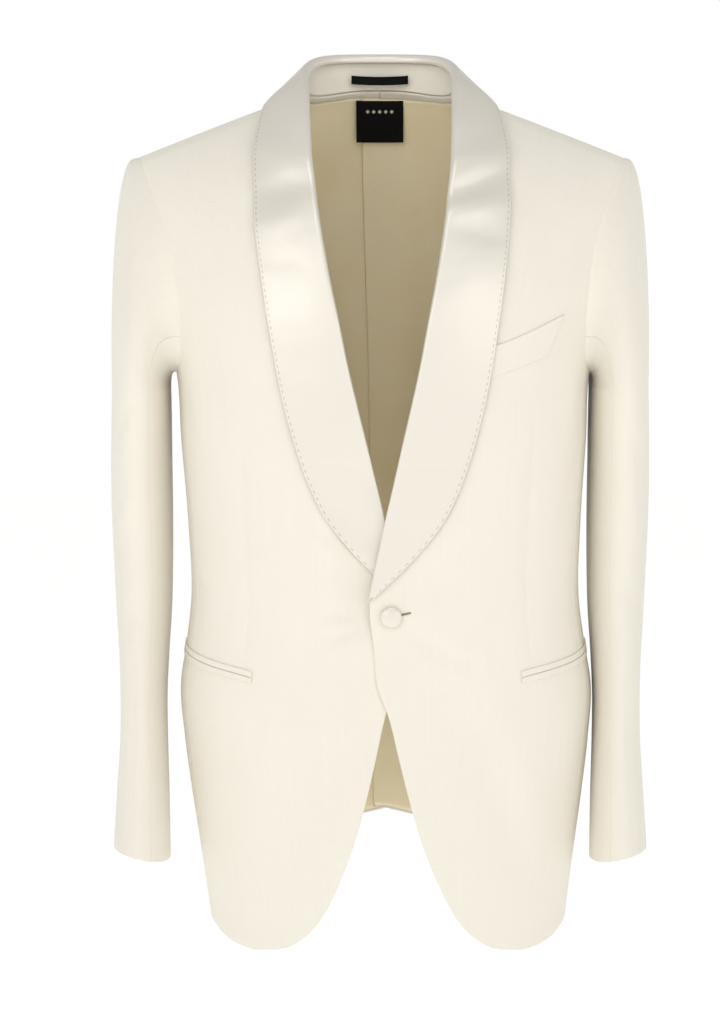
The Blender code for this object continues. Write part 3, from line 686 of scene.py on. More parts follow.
def lining_twill():
    """Viscose lining twill: smooth, with a soft shine and fine slanting ribs. They are drawn at 1.4 mm,
    coarser than they are, so that they show."""
    material, shader = new_material("champagne_lining_twill", {
        "Roughness": 0.42, "Specular IOR Level": 0.45, "Sheen Weight": 0.15})
    flat = node(material, "ShaderNodeUVMap", {}, uv_map="flat_cloth")
    slant = node(material, "ShaderNodeMapping",
                 {"Vector": (flat, "UV"), "Rotation": (0, 0, math.radians(45))})
    ribs = node(material, "ShaderNodeTexWave", {"Vector": (slant, "Vector"), "Scale": RIBS / TWILL_RIB})
    cloud = node(material, "ShaderNodeTexNoise", {"Vector": (flat, "UV"), "Scale": 22.0, "Detail": 3.0})
    blend_colour(material, shader, (cloud, "Fac"), "#EEDFB6", "#F4E8CB")
    raise_threads(material, shader, [(ribs, "Fac"), (cloud, "Fac")], (0.00006, 0.0012))
    return material


def lining_relief(around, z):
    """Slack in the lining: the sum of two sines around it, which grows towards the hem and dies out
    short of the centre, where the pleat lies flat."""
    slack = 0.0004 + 0.0008 * ease((-0.25 - z) / 0.3)
    waves = np.sin(around * 21.0 + 2.0 * np.sin(z * 9.0)) + 0.5 * np.sin(around * 47.0 + z * 13.0)
    return slack * waves * ease((1.93 - around) / 0.10)


twill = lining_twill()
row, around, z = back_rows(90, 60)
kept = (row > LINING_HEM) & (row < LINING_TOP)
around, z = around[kept], z[kept]
lining_right = panel("lining_right", RIGHT, around, z, twill, -LINING_DEPTH, LINING,
                     relief=lining_relief(around, z), edge=LINING, draw_back=LINING_DRAW)
past = 2 + np.linspace(0, LAP, 12)[1:]
around = np.append(around, past + 0 * z[:, :1], axis=1)
z = np.append(z, np.repeat(z[:, -1:], len(past), axis=1), axis=1)
lap_step = -LAP_DEPTH * ease((around - 1.86) / 0.08)
lining_left = panel("lining_left", LEFT, around, z, twill, -LINING_DEPTH, LINING,
                    relief=lap_step + lining_relief(around, z), edge=LINING, draw_back=LINING_DRAW)
sew(lining_right, ["back_lining_right"], "lining_twill", (0.23, 0.73), 0.142)
sew(lining_left, ["back_lining_left"], "lining_twill", (0.25, 0.73), 0.151)


# --- Sleeves ----------------------------------------------------------------------------------------
# Each sleeve is a top piece and a narrower under piece, joined in a front and a back seam and set into
# the armhole over a little wadding, which makes the shoulder crisp. The cuffs are plain and open.

# One sleeve below the underarm: level sections from the biceps to the cuff
SLEEVE = table(
    "z inner_x outer_x middle_y half_depth",
    (-0.272, 0.1965, 0.2500, 0.003, 0.0790),
    (-0.300, 0.1962, 0.2510, 0.005, 0.0780),
    (-0.340, 0.1960, 0.2520, 0.007, 0.0750),
    (-0.385, 0.1955, 0.2518, 0.007, 0.0720),
    (-0.430, 0.1955, 0.2500, 0.005, 0.0690),
    (-0.480, 0.1965, 0.2475, 0.001, 0.0665),
    (-0.520, 0.1990, 0.2450, -0.004, 0.0650),
    (-0.560, 0.2007, 0.2435, -0.009, 0.0635),
    (-0.600, 0.2000, 0.2435, -0.015, 0.0615),
    (-0.645, 0.1985, 0.2460, -0.021, 0.0600),
    (-0.706, 0.1970, 0.2495, -0.030, 0.0580),
)
SLEEVE_ROUNDNESS = 2.2
SLEEVE_FRONT_SEAM = 115.0    # degrees from the outer side through the front
SLEEVE_BACK_SEAM = 255.0
CAP_SQUARENESS = 0.58        # below 1 the sleeve head turns down sooner, for a crisp shoulder
CUFF_SLANT_X = 0.245         # the cuff's edge rises outwards
CUFF_SLANT_Y = -0.06         # and falls to the back
HEAD_LENGTH, TUBE_LENGTH = 0.20, 0.434    # cloth down the head and down the tube
DEGREE_OF_CLOTH = 0.00085    # cloth for each degree around
CUFF_SLANT_FROM = -0.45      # height from which the slant comes in
ALLOWANCE = 0.0030           # how far the sleeve's edge is turned in under the body
ALLOWANCE_DEPTH = 1.7        # how deep it lies there, in walls of cloth
SLEEVE_EDGE = 0.0009         # how far in from an edge the sleeve's cloth starts to round off
SET_IN = 0.10                # share of the head over which the sleeve leaves the body's slope

# Soft folds in the sleeves, between two places around (degrees) and down (1 is the underarm, 2 the cuff)
SLEEVE_FOLDS = table(
    "side turn down to_turn to_down half_width height",
    (LEFT, 30, 0.25, 70, 0.75, 0.016, -0.0015),
    (LEFT, -10, 0.30, 40, 1.00, 0.018, 0.0011),
    (LEFT, 95, 1.05, 40, 1.20, 0.011, -0.0012),
    (LEFT, 100, 1.16, 55, 1.32, 0.012, 0.0011),
    (LEFT, 105, 1.38, 60, 1.47, 0.011, -0.0012),
    (LEFT, 60, 1.50, 35, 1.80, 0.014, 0.0010),
    (LEFT, 75, 1.62, 70, 1.98, 0.012, -0.0010),
    (LEFT, -80, 1.25, -20, 1.42, 0.013, -0.0013),
    (LEFT, -85, 1.40, -30, 1.50, 0.012, 0.0011),
    (RIGHT, 25, 0.25, 68, 0.78, 0.016, -0.0015),
    (RIGHT, -10, 0.35, 35, 1.00, 0.018, 0.0011),
    (RIGHT, 98, 1.00, 50, 1.10, 0.011, -0.0012),
    (RIGHT, 100, 1.20, 50, 1.30, 0.012, 0.0012),
    (RIGHT, 100, 1.44, 55, 1.52, 0.011, -0.0012),
    (RIGHT, 62, 1.45, 40, 1.85, 0.014, 0.0011),
    (RIGHT, 80, 1.60, 74, 1.98, 0.011, -0.0010),
    (RIGHT, -80, 1.22, -20, 1.40, 0.013, -0.0013),
    (RIGHT, -85, 1.42, -30, 1.52, 0.012, 0.0011),
)


def along_armhole(measure, side, turn):
    """The form's points or normals along the armhole seam, as a closed curve: turn runs from the
    shoulder point down through the front, and up again through the back."""
    turn = np.asarray(turn, float) % 360
    front = measure(side, *armhole(np.minimum(turn, 180), True))
    back = measure(side, *armhole(np.minimum(360 - turn, 180), False))
    return np.where((turn <= 180)[..., None], front, back)


def seam_allowance(side, turn):
    """The sleeve's turned-in edge: off the seam, into the body and along under the panels' cloth."""
    normal = along_armhole(form_normal, side, turn)
    run = along_armhole(on_form, side, turn + 1) - along_armhole(on_form, side, turn - 1)
    inwards = unit(side * np.cross(run, normal)) * ALLOWANCE
    return along_armhole(on_form, side, turn) + inwards - normal * (CLOTH * ALLOWANCE_DEPTH)


def sleeve_section(side, turn, z):
    """Superellipse section of the sleeve, slanting towards the cuff."""
    inner, outer, middle_y, half_depth = (
        smooth(SLEEVE, "z", name, z) for name in ("inner_x", "outer_x", "middle_y", "half_depth"))
    angle = np.radians(turn)
    power = 2 / SLEEVE_ROUNDNESS
    across = (outer - inner) / 2 * np.sign(np.cos(angle)) * np.abs(np.cos(angle)) ** power
    along = -half_depth * np.sign(np.sin(angle)) * np.abs(np.sin(angle)) ** power
    slant = ease((z - CUFF_SLANT_FROM) / (SLEEVE["z"][-1] - CUFF_SLANT_FROM))
    height = z + slant * (CUFF_SLANT_X * across + CUFF_SLANT_Y * along)
    x, y = side * ((inner + outer) / 2 + across), middle_y + along
    return np.stack(np.broadcast_arrays(x, y, height), -1)


def sleeve_point(side, turn, down):
    """Point of the sleeve. down 0 to 1 is the head, which fans from the armhole to the first level
    section on a quarter turn: outwards by its sine to a power, downwards by one less its cosine.
    1 to 2 is the tube, down to the cuff."""
    turn, down = np.broadcast_arrays(np.asarray(turn, float), np.asarray(down, float))
    top, cuff = SLEEVE["z"][0], SLEEVE["z"][-1]
    seam, first = along_armhole(on_form, side, turn), sleeve_section(side, turn, top + 0 * turn)
    swing = np.clip(down, 0, 1)[..., None] * math.pi / 2
    head = seam + (first - seam) * np.sin(swing) ** CAP_SQUARENESS
    head[..., 2] = (seam + (first - seam) * (1 - np.cos(swing)))[..., 2]
    tube = sleeve_section(side, turn, top + (cuff - top) * np.clip(down - 1, 0, 1))
    return np.where((down > 1)[..., None], tube, head)


def sleeve_normal(side, turn, down):
    """Outward unit normal by small differences."""
    ahead, behind = np.minimum(down + 0.012, 2), np.maximum(down - 0.012, 0.0)
    across = sleeve_point(side, turn + 1.5, down) - sleeve_point(side, turn - 1.5, down)
    along = sleeve_point(side, turn, behind) - sleeve_point(side, turn, ahead)
    return unit(side * np.cross(along, across))


def sleeve_cloth(turn, down):
    """Place on the sleeve's flat cloth, in metres around it and down it."""
    around = turn * DEGREE_OF_CLOTH
    return around, HEAD_LENGTH * np.minimum(down, 1) + TUBE_LENGTH * np.maximum(down - 1, 0)


def sleeve_drape(side, turn, down):
    """Height of the sleeve's soft folds, whose ends are places on its flat cloth."""
    folds = [(*sleeve_cloth(turn0, down0), *sleeve_cloth(turn1, down1), half_width, rise)
             for turn0, down0, turn1, down1, half_width, rise in of_side(side, SLEEVE_FOLDS)]
    return bells(*sleeve_cloth(turn, down), folds)


def sleeve(name, side, first, last, columns, material):
    """One of a sleeve's two pieces, between two of its lengthwise seams. At the armhole its normals
    are the body's, and one more row there is the edge that is turned in."""
    turns = first + (last - first) * lines(columns)
    head = np.linspace(0, 1, 46) ** 1.6
    downs = np.unique(np.concatenate([head, np.linspace(1, 2, 120), (1.9985, 1.996)]))
    turn, down = np.meshgrid(turns, downs)
    joined = 1 - ease(down / SET_IN)[..., None]
    normal = sleeve_normal(side, turn, down)
    normal = unit(normal * (1 - joined) + along_armhole(form_normal, side, turn) * joined)
    move = sleeve_drape(side, turn, down) - CLOTH / 2
    middle = sleeve_point(side, turn, down) + normal * move[..., None]
    middle = np.concatenate([seam_allowance(side, turn[:1]), middle])
    normal = np.concatenate([normal[:1], normal])
    turn, down = np.concatenate([turn[:1], turn]), np.concatenate([down[:1] - 0.01, down])
    across, along = sleeve_cloth(turn, down)
    flat = np.stack([-side * across, -along], -1)
    if side == RIGHT:
        middle, normal, flat = (grid[:, ::-1] for grid in (middle, normal, flat))
    return cloth(name, middle, normal, flat, material, edge=SLEEVE_EDGE)


front_seam, back_seam = SLEEVE_FRONT_SEAM, SLEEVE_BACK_SEAM
for side, word in SIDES:
    top_sleeve = sleeve(f"top_sleeve_cloth_{word}", side, back_seam - 360, front_seam, 90, wool)
    under_sleeve = sleeve(f"under_sleeve_cloth_{word}", side, front_seam, back_seam, 46, wool)
    sew(top_sleeve, [f"top_sleeve_{word}"], "ivory_wool", (0.22, 0.66), 0.113)
    sew(under_sleeve, [f"under_sleeve_{word}"], "ivory_wool", (0.15, 0.53), 0.066)


# --- Shawl collar -----------------------------------------------------------------------------------
# The facing and top collar are one piece of ivory silk satin on each side, joined at the centre back.
# It rolls over at the fold with no crease, and small pick stitches hold its outer edge.

SATIN = 0.0011           # satin with its canvas, as one turned layer
SATIN_RISE = 0.0021      # the satin's outer face above the line that it lies on
STITCH_INSET = 0.0028    # the row of pick stitches, in from the outer edge
STITCH_STEP = 0.006      # one pick stitch to the next
STITCH_SHARE = 0.4       # share of that step that a stitch takes
STITCH_HALF = 0.0005     # half width of a stitch's dimple
STREAKS = (700.0, 30.0, 1.0)    # streaks for each metre across the satin and down it
SATIN_EDGE = 0.0009      # how far in from an edge the satin starts to round off
LAPEL_BULGE = 0.0006     # how far the middle stands up on the front
COLLAR_BULGE = 0.004     # the same behind the shoulder
ROLL_TURN = 0.97         # the roll before the fold, in half circles
ROLL_STEPS = 12

# The shawl where it lies on the front, from its tip at the button up to the shoulder: the roll line
# and the outer edge on the form, and how far each stands off the front
LAPEL = table(
    "fold_x fold_z fold_out edge_x edge_z edge_out",
    (-0.0145, -0.4585, 0.0016, -0.0100, -0.4525, 0.0016),
    (-0.0115, -0.4450, 0.0014, 0.0030, -0.4420, 0.0014),
    (-0.0075, -0.4260, 0.0010, 0.0235, -0.4225, 0.0010),
    (-0.0030, -0.4060, 0.0011, 0.0430, -0.4000, 0.0010),
    (0.0015, -0.3860, 0.0015, 0.0580, -0.3770, 0.0011),
    (0.0090, -0.3550, 0.0022, 0.0720, -0.3440, 0.0012),
    (0.0170, -0.3210, 0.0030, 0.0830, -0.3080, 0.0013),
    (0.0255, -0.2860, 0.0036, 0.0915, -0.2730, 0.0014),
    (0.0345, -0.2470, 0.0042, 0.0985, -0.2350, 0.0015),
    (0.0425, -0.2065, 0.0048, 0.1045, -0.1960, 0.0016),
    (0.0500, -0.1700, 0.0054, 0.1095, -0.1610, 0.0018),
    (0.0565, -0.1330, 0.0060, 0.1135, -0.1270, 0.0020),
    (0.0618, -0.0970, 0.0066, 0.1150, -0.0920, 0.0024),
    (0.0655, -0.0640, 0.0080, 0.1145, -0.0610, 0.0030),
    (0.0680, -0.0330, 0.0100, 0.1115, -0.0350, 0.0038),
)

# The shawl behind the shoulder, to the centre back: fold and outer edge in space
COLLAR = table(
    "fold_x fold_y fold_z edge_x edge_y edge_z",
    (0.0715, -0.0180, 0.0030, 0.1065, -0.0080, -0.0120),
    (0.0728, 0.0080, 0.0180, 0.1020, 0.0180, -0.0110),
    (0.0690, 0.0330, 0.0285, 0.0920, 0.0480, -0.0130),
    (0.0585, 0.0540, 0.0350, 0.0735, 0.0760, -0.0110),
    (0.0420, 0.0690, 0.0378, 0.0510, 0.0915, -0.0080),
    (0.0210, 0.0760, 0.0388, 0.0255, 0.0985, -0.0062),
    (0.0000, 0.0780, 0.0390, 0.0000, 0.1005, -0.0055),
)

# Soft ripples across the satin: side, height, share across from fold to edge, length down and share
# across of its bell, slant (height for a share across) and height of the ripple
RIPPLES = table(
    "side z share length across slant height",
    (LEFT, -0.062, 0.45, 0.0130, 0.70, 0.014, 0.0026),
    (LEFT, -0.088, 0.35, 0.0100, 0.65, 0.020, -0.0030),
    (LEFT, -0.108, 0.40, 0.0110, 0.60, 0.010, 0.0020),
    (LEFT, -0.130, 0.60, 0.0120, 0.55, -0.010, -0.0010),
    (LEFT, -0.180, 0.40, 0.0200, 0.60, 0.010, 0.0007),
    (LEFT, -0.338, 0.55, 0.0016, 0.90, 0.004, -0.0004),
    (RIGHT, -0.058, 0.50, 0.0150, 0.70, 0.010, 0.0022),
    (RIGHT, -0.090, 0.45, 0.0120, 0.70, -0.010, -0.0022),
    (RIGHT, -0.118, 0.55, 0.0120, 0.60, -0.014, 0.0010),
    (RIGHT, -0.155, 0.50, 0.0150, 0.55, 0.008, -0.0008),
    (RIGHT, -0.245, 0.55, 0.0150, 0.50, 0.012, -0.0006),
    (RIGHT, -0.335, 0.55, 0.0016, 0.90, 0.004, -0.0004),
)


def silk_satin():
    """Heavy silk satin: long floats of warp that run down the lapel give a soft, streaked shine.
    The streaks are drawn at 1.4 mm, coarser than the threads, so that they show. Pick stitches are
    dashes at one distance from the outer edge, sunk a little and painted darker, which is painted
    shade in their dimples."""
    material, shader = new_material("ivory_silk_satin", {
        "Roughness": 0.36, "Metallic": 0.26, "Specular IOR Level": 0.6, "Anisotropic": 0.35})
    flat = node(material, "ShaderNodeUVMap", {}, uv_map="flat_cloth")
    long_way = node(material, "ShaderNodeMapping", {"Vector": (flat, "UV"), "Scale": STREAKS})
    floats = node(material, "ShaderNodeTexNoise",
                  {"Vector": (long_way, "Vector"), "Scale": 1.0, "Detail": 2.0})
    cloud = node(material, "ShaderNodeTexNoise", {"Vector": (flat, "UV"), "Scale": 30.0, "Detail": 2.0})
    edge = node(material, "ShaderNodeAttribute", {}, attribute_name="from_edge")
    row = node(material, "ShaderNodeMath", {0: (edge, "Fac"), 1: STITCH_INSET, 2: STITCH_HALF},
               operation="COMPARE")
    parts = node(material, "ShaderNodeSeparateXYZ", {"Vector": (flat, "UV")})
    count = node(material, "ShaderNodeMath", {0: (parts, "Y"), 1: STITCH_STEP}, operation="DIVIDE")
    turn = node(material, "ShaderNodeMath", {0: (count, "Value")}, operation="FRACT")
    dash = node(material, "ShaderNodeMath", {0: (turn, "Value"), 1: STITCH_SHARE}, operation="LESS_THAN")
    stitch = node(material, "ShaderNodeMath", {0: (row, "Value"), 1: (dash, "Value")}, operation="MULTIPLY")
    stitch_dimple_and_shade = node(material, "ShaderNodeMath", {0: 1.0, 1: (stitch, "Value")}, operation="SUBTRACT")
    # The stitches' colour is darker: painted shade in their dimples. The same mask sinks them in the bump
    # below.
    blend_colour(material, shader, (stitch_dimple_and_shade, "Value"), "#CFC5AE", "#EAE4D8")
    raise_threads(material, shader, [(floats, "Fac"), (cloud, "Fac"), (stitch_dimple_and_shade, "Value")],
                  (0.00004, 0.0008, 0.0003))
    return material


def guide_curves(side):
    """Fold, middle and outer edge of the shawl, from the tip at the button to the centre back."""
    fold_around = around_at(LAPEL["fold_x"], LAPEL["fold_z"])
    edge_around = around_at(LAPEL["edge_x"], LAPEL["edge_z"])
    fold = on_form(side, fold_around, LAPEL["fold_z"], LAPEL["fold_out"])
    edge = on_form(side, edge_around, LAPEL["edge_z"], LAPEL["edge_out"])
    lift = (LAPEL["fold_out"] + LAPEL["edge_out"]) / 2 + LAPEL_BULGE
    middle_z = (LAPEL["fold_z"] + LAPEL["edge_z"]) / 2
    middle = on_form(side, (fold_around + edge_around) / 2, middle_z, lift)
    upper = np.stack([COLLAR[name] for name in ("fold_x", "fold_y", "fold_z")], -1)
    lower = np.stack([COLLAR[name] for name in ("edge_x", "edge_y", "edge_z")], -1)
    outwards = np.stack([lower[:, 0] * 0.5 + 0.02, lower[:, 1] * 0.6 + 0.01, 0.05 + 0 * lower[:, 0]], -1)
    bulge = (upper + lower) / 2 + unit(outwards) * COLLAR_BULGE
    bulge[-1, 0] = 0
    turn = np.array((side, 1, 1))
    return [np.concatenate([a, b * turn]) for a, b in ((fold, upper), (middle, bulge), (edge, lower))]


def ripple(side, z, share):
    """Height of the satin's ripples: a bell down and across, slanting with the share across."""
    height = 0.0 * z
    for at, middle, length, across, slant, rise in of_side(side, RIPPLES):
        down = (z - at - slant * (share - middle)) / length
        height = height + rise * np.exp(-down ** 2 - ((share - middle) / across) ** 2)
    return height


def shawl_surface(side, rows, share):
    """The line that the satin lies on: each row is the parabola through fold, middle and edge. Returns
    its points, their normals and how far the fold stands off the front."""
    knots = np.arange(len(LAPEL["fold_x"]) + len(COLLAR["fold_x"]), dtype=float)
    fold, middle, edge = (curve(knots, guide, rows)[:, None] for guide in guide_curves(side))
    s = share[None, :, None]
    control = 2 * middle - (fold + edge) / 2
    lie = fold * (1 - s) ** 2 + 2 * control * s * (1 - s) + edge * s ** 2
    normal = unit(side * np.cross(np.gradient(lie, axis=1), np.gradient(lie, axis=0)))
    stand_off = np.interp(rows, knots[:len(LAPEL["fold_out"])], LAPEL["fold_out"])
    return lie, normal, stand_off


def shawl(name, side, material):
    """The satin with its roll: before the fold, each row turns under on a half circle that reaches
    down to the front's edge. from_edge is each point's distance from the outer edge along the satin."""
    rows = lines(270, (0.0008, 0.002)) * (len(LAPEL["fold_x"]) + len(COLLAR["fold_x"]) - 1)
    share = lines(50, (0.004, 0.012), (0.010, 0.022, 0.034))
    lie, normal, stand_off = shawl_surface(side, rows, share)
    rise = SATIN_RISE + ripple(side, lie[..., 2], share[None, :])
    face = lie + normal * rise[..., None]
    radius = ((SATIN_RISE + stand_off * 0.9) / 2)[:, None, None]
    across, up = unit(face[:, 1:2] - face[:, :1]), normal[:, :1]
    angle = np.linspace(math.pi * ROLL_TURN, 0, ROLL_STEPS)[:-1][None, :, None]
    roll = face[:, :1] - up * radius + (up * np.cos(angle) - across * np.sin(angle)) * radius
    grid = np.concatenate([roll, face], axis=1)
    outward = unit(side * np.cross(np.gradient(grid, axis=1), np.gradient(grid, axis=0)))
    down_cloth = np.cumsum(np.append(0, np.linalg.norm(np.diff(face[:, 0], axis=0), axis=-1)))
    flat = np.stack([side * reach(grid, 1), down_cloth[:, None] + 0 * grid[..., 0]], -1)
    middle = grid - outward * (SATIN / 2)
    from_edge = reach(grid[:, ::-1], 1)[:, ::-1]
    if side == RIGHT:
        middle, outward, flat, from_edge = (part[:, ::-1] for part in (middle, outward, flat, from_edge))
    piece = cloth(name, middle, outward, flat, material, SATIN, SATIN_EDGE)
    distance = np.concatenate([from_edge.ravel(), from_edge[1:-1, 1:-1].ravel()])
    measure = piece.data.attributes.new("from_edge", "FLOAT", "POINT")
    measure.data.foreach_set("value", distance.astype(np.float32))
    return piece


satin = silk_satin()
for side, word in SIDES:
    facing = shawl(f"shawl_satin_{word}", side, satin)
    sew(facing, [f"shawl_{word}"], "ivory_silk_satin", (0.085, 0.68), 0.0412)


# --- Collar stand -----------------------------------------------------------------------------------
# The band that holds the collar up round the neck: barathea over stiff melton, sewn to the neckline
# and hidden outside by the fall of the shawl.

STAND = 0.0016           # wall of the stand
STAND_EDGE = 0.0008      # how far in from an edge it starts to round off
STAND_BOW = 0.0010       # how far it bows outwards half way up
STAND_X = (0.0704, NECK_X, 0.0640, 0.0520, 0.0370, 0.0190, 0.0)    # its seam, front end to centre back
STAND_FRONT_Z = -0.006   # height of the seam's front end
BELOW_FOLD = 0.0006      # how far its top stays inside and below the shawl's fold
INSIDE_SEAM = 0.0012     # how far its foot stands inside the neck seam
ABOVE_SEAM = 0.0016      # and above it


def stand(material):
    """A lofted band: straight from the neck seam to just under the shawl's fold, bowed outwards by the
    sine of the way up."""
    fold = np.stack([COLLAR[name] for name in ("fold_x", "fold_y", "fold_z")], -1)
    x = np.array(STAND_X)
    z = np.append(STAND_FRONT_Z, top_line(x[1:]))
    on_front = form(LEFT, around_at(x[:2], z[:2]), z[:2])
    on_back = form(LEFT, 2 - around_at(x[2:], z[2:] - 0.001), z[2:] - 0.001)
    seam = np.concatenate([on_front, on_back])
    seam[:, 0] += LEAN * seam[:, 2]
    inwards = -unit(fold * np.array((1, 0.8, 0)))
    top = fold + inwards * BELOW_FOLD + np.array((0, 0, -BELOW_FOLD))
    bottom = seam + inwards * INSIDE_SEAM + np.array((0, 0, ABOVE_SEAM))
    knots = np.arange(2.0 * len(top) - 1)
    share = lines(26, (0.012, 0.03))[:, None, None]
    mirror = np.array((-1, 1, 1))
    both = [np.concatenate([half, half[::-1][1:] * mirror]) for half in (bottom, top)]
    low, high = (curve(knots, guide, lines(170) * knots[-1])[None] for guide in both)
    grid = low + (high - low) * share
    outward = unit(np.cross(np.gradient(grid, axis=1), np.gradient(grid, axis=0)))
    grid = grid + outward * (STAND_BOW * np.sin(share * math.pi) - STAND / 2)
    flat = np.stack([reach(grid, 1), reach(grid, 0)], -1)
    return cloth("collar_stand_cloth", grid, outward, flat, material, STAND, STAND_EDGE)


neck_band = stand(wool)
sew(neck_band, ["collar_stand"], "ivory_wool", (0.25, 0.036), 0.0074)


# --- Breast welt ------------------------------------------------------------------------------------
# The breast pocket's welt, a narrow doubled strip of barathea that rises towards the armhole. Its ends
# are slanted and sewn down, and its upper edge is the pocket's mouth.

WELT = 0.0009            # wall of the welt and of the jets
WELT_LIFT = 0.0003       # how far the strip's under side stands off the front
WELT_EDGE = 0.0010       # how far in from an edge it starts to round off

# The welt's lower and upper edge: the inner end, the run and the rise to the outer end, and the power
# of the share along it that the rise follows
WELT_LINES = table(
    "x z run rise power",
    (0.0945, -0.2590, 0.0530, 0.0190, 1.0),
    (0.0985, -0.2300, 0.0650, 0.0275, 1.2),
)


def breast_welt_rows():
    """The welt's grid between its lower and upper edge, each a slanting line on the front."""
    share, up = lines(70, (0.006, 0.015)), lines(26, (0.015, 0.035))[:, None]
    (low_x, low_z), (high_x, high_z) = [
        (x + run * share, z + rise * share ** power)
        for x, z, run, rise, power in zip(*WELT_LINES.values())]
    z = low_z + (high_z - low_z) * up
    return around_at(low_x + (high_x - low_x) * up, z), z


welt = panel("breast_welt_cloth", LEFT, *breast_welt_rows(), wool, WELT_LIFT + WELT, WELT, edge=WELT_EDGE)
sew(welt, ["breast_welt"], "ivory_wool", (0.069, 0.032), 0.0019)


# --- Hip pockets ------------------------------------------------------------------------------------
# Each hip pocket is a slit between two narrow jets of barathea, slanting down towards the front. The
# jets meet edge to edge and only the slit between them is dark.

JET_HEIGHT = 0.0052      # what shows of one jet
JET_GAP = 0.0003         # half of the slit between the two
JET_EDGE = 0.0012        # how far in from an edge a jet starts to round off
JET_FROM, JET_TO = 0.411, 0.95    # its ends, as places around the form
JET_Z, JET_RISE = -0.5315, 0.0190    # height of the slit at its front end, and its rise to the other


def jet_rows(upper):
    """The jet's grid: a strip of one height along the pocket's slanting line and on past the seam."""
    around = JET_FROM + (JET_TO - JET_FROM) * lines(120, (0.003, 0.008))
    share = (around - around[0]) / (around[-1] - around[0])
    middle = JET_Z + JET_RISE * share ** 0.8
    offset = (1 if upper else -1) * (JET_HEIGHT / 2 + JET_GAP)
    z = middle + offset + JET_HEIGHT * (lines(16, (0.04, 0.12))[:, None] - 0.5)
    return around + 0 * z, z


for side, word in SIDES:
    for upper, which in ((True, "upper"), (False, "lower")):
        jet = panel(f"jet_cloth_{which}_{word}", side, *jet_rows(upper), wool, WELT_LIFT + WELT, WELT,
                    edge=JET_EDGE)
        sew(jet, [f"hip_jet_{which}_{word}"], "ivory_wool", (0.150, 0.010), 0.00071)


# --- Button and buttonhole --------------------------------------------------------------------------
# One domed button covered in the same satin, gathered under its rim, stands on a thread shank. The
# buttonhole behind it is worked in silk twist, and its tail shows beside the button. The twist is
# painted grey, as the shade of the buttonhole's slit.

BUTTON_X, BUTTON_Z = 0.0045, -0.4735
BUTTON_LIFT = 0.0003     # how far its shank stands off the front
GATHERS = 32             # folds that the satin is gathered in under the rim
GATHER_DEPTH = 0.012     # their depth, as a share of the radius
RIM, RIM_WIDTH = 4.6, 0.9    # row of the profile where they are deepest, and how far they reach
SPOKES = 96
BUTTON_PROFILE = table(
    "radius height",
    (0.0000, 0.0054),
    (0.0025, 0.00535),
    (0.0050, 0.0051),
    (0.0072, 0.0045),
    (0.0086, 0.0037),
    (0.0094, 0.0028),
    (0.0092, 0.0019),
    (0.0080, 0.0014),
    (0.0060, 0.0013),
    (0.0030, 0.0013),
    (0.0028, 0.0004),
    (0.0000, 0.0002),
)


def ringed(name, points, material):
    """A mesh from a grid of closed rings, each joined to the next."""
    ring = np.arange(points.shape[0] * points.shape[1]).reshape(points.shape[:2])
    after = np.roll(ring, -1, axis=1)
    faces = np.stack([ring[:-1], ring[1:], after[1:], after[:-1]], -1).reshape(-1, 4)
    flat = np.stack([points[..., 0], points[..., 2]], -1).reshape(-1, 2)
    return make_mesh(name, points.reshape(-1, 3), faces, flat, material)


def turned(name, profile, place, material):
    """A profile turned about an axis that points out of the front, its rim waved by the gathers."""
    index = np.linspace(0, 1, 72)[:, None] * (len(profile["radius"]) - 1)
    knots = np.arange(len(profile["radius"]), dtype=float)
    radius, height = (curve(knots, profile[key], index) for key in ("radius", "height"))
    angle = np.linspace(0, 2 * math.pi, SPOKES, endpoint=False)[None, :]
    rim = np.exp(-((index - RIM) / RIM_WIDTH) ** 2)
    radius = np.maximum(radius, 0) * (1 + rim * GATHER_DEPTH * np.cos(GATHERS * angle))
    x, z = place[0] + radius * np.cos(angle), place[2] + radius * np.sin(angle)
    return ringed(name, np.stack([x, place[1] - height + 0 * angle, z], -1), material)


HOLE_HEAD, HOLE_TAIL = (BUTTON_X, BUTTON_Z), (0.0225, -0.4697)
STITCHES = 30            # stitches along the buttonhole
STITCH_WAVE = 0.16       # how much a stitch swells, as a share of the bar's size
BAR_HEIGHT, BAR_HALF = 0.00045, 0.0010    # how far the bar stands out, and half its width
BAR_LIFT = 0.0002        # how far its middle stands off the cloth
BAR_SPOKES = 16


def buttonhole(material):
    """Close buttonhole stitches: a low bar that runs from under the button to its tail, waved once for
    each stitch, with its ends rounded off."""
    along = np.linspace(0, 1, STITCHES * 8)[:, None]
    angle = np.linspace(0, 2 * math.pi, BAR_SPOKES, endpoint=False)[None, :]
    x = HOLE_HEAD[0] + (HOLE_TAIL[0] - HOLE_HEAD[0]) * along
    z = HOLE_HEAD[1] + (HOLE_TAIL[1] - HOLE_HEAD[1]) * along
    around = around_at(x, z)
    on_cloth = on_form(LEFT, around, z, BAR_LIFT + drape(LEFT, around, z))
    swell = 1 + STITCH_WAVE * np.cos(along * STITCHES * 2 * math.pi)
    size = swell * np.sqrt(1 - np.clip(2 * along - 1, -1, 1) ** 12)
    out, up = -BAR_HEIGHT * np.cos(angle) * size, BAR_HALF * np.sin(angle) * size
    return ringed("buttonhole_silk_twist", on_cloth + np.stack([0 * out, out, up], -1), material)


button_around = around_at(np.array(BUTTON_X), np.array(BUTTON_Z))
button_place = on_form(LEFT, button_around, np.array(BUTTON_Z), BUTTON_LIFT)
button = turned("button_satin", BUTTON_PROFILE, button_place, satin)

# Silk twist: a hard, round buttonhole thread with a dull shine. Its grey, darker than the cloth, is painted
# shade: it stands for the shade in the buttonhole's slit and tail.
twist, _ = new_material("silk_twist_painted_shade", {"Base Color": colour("#8E8672"), "Roughness": 0.5})
hole = buttonhole(twist)
for piece in (button, hole):
    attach(piece, "root")
    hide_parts("button")


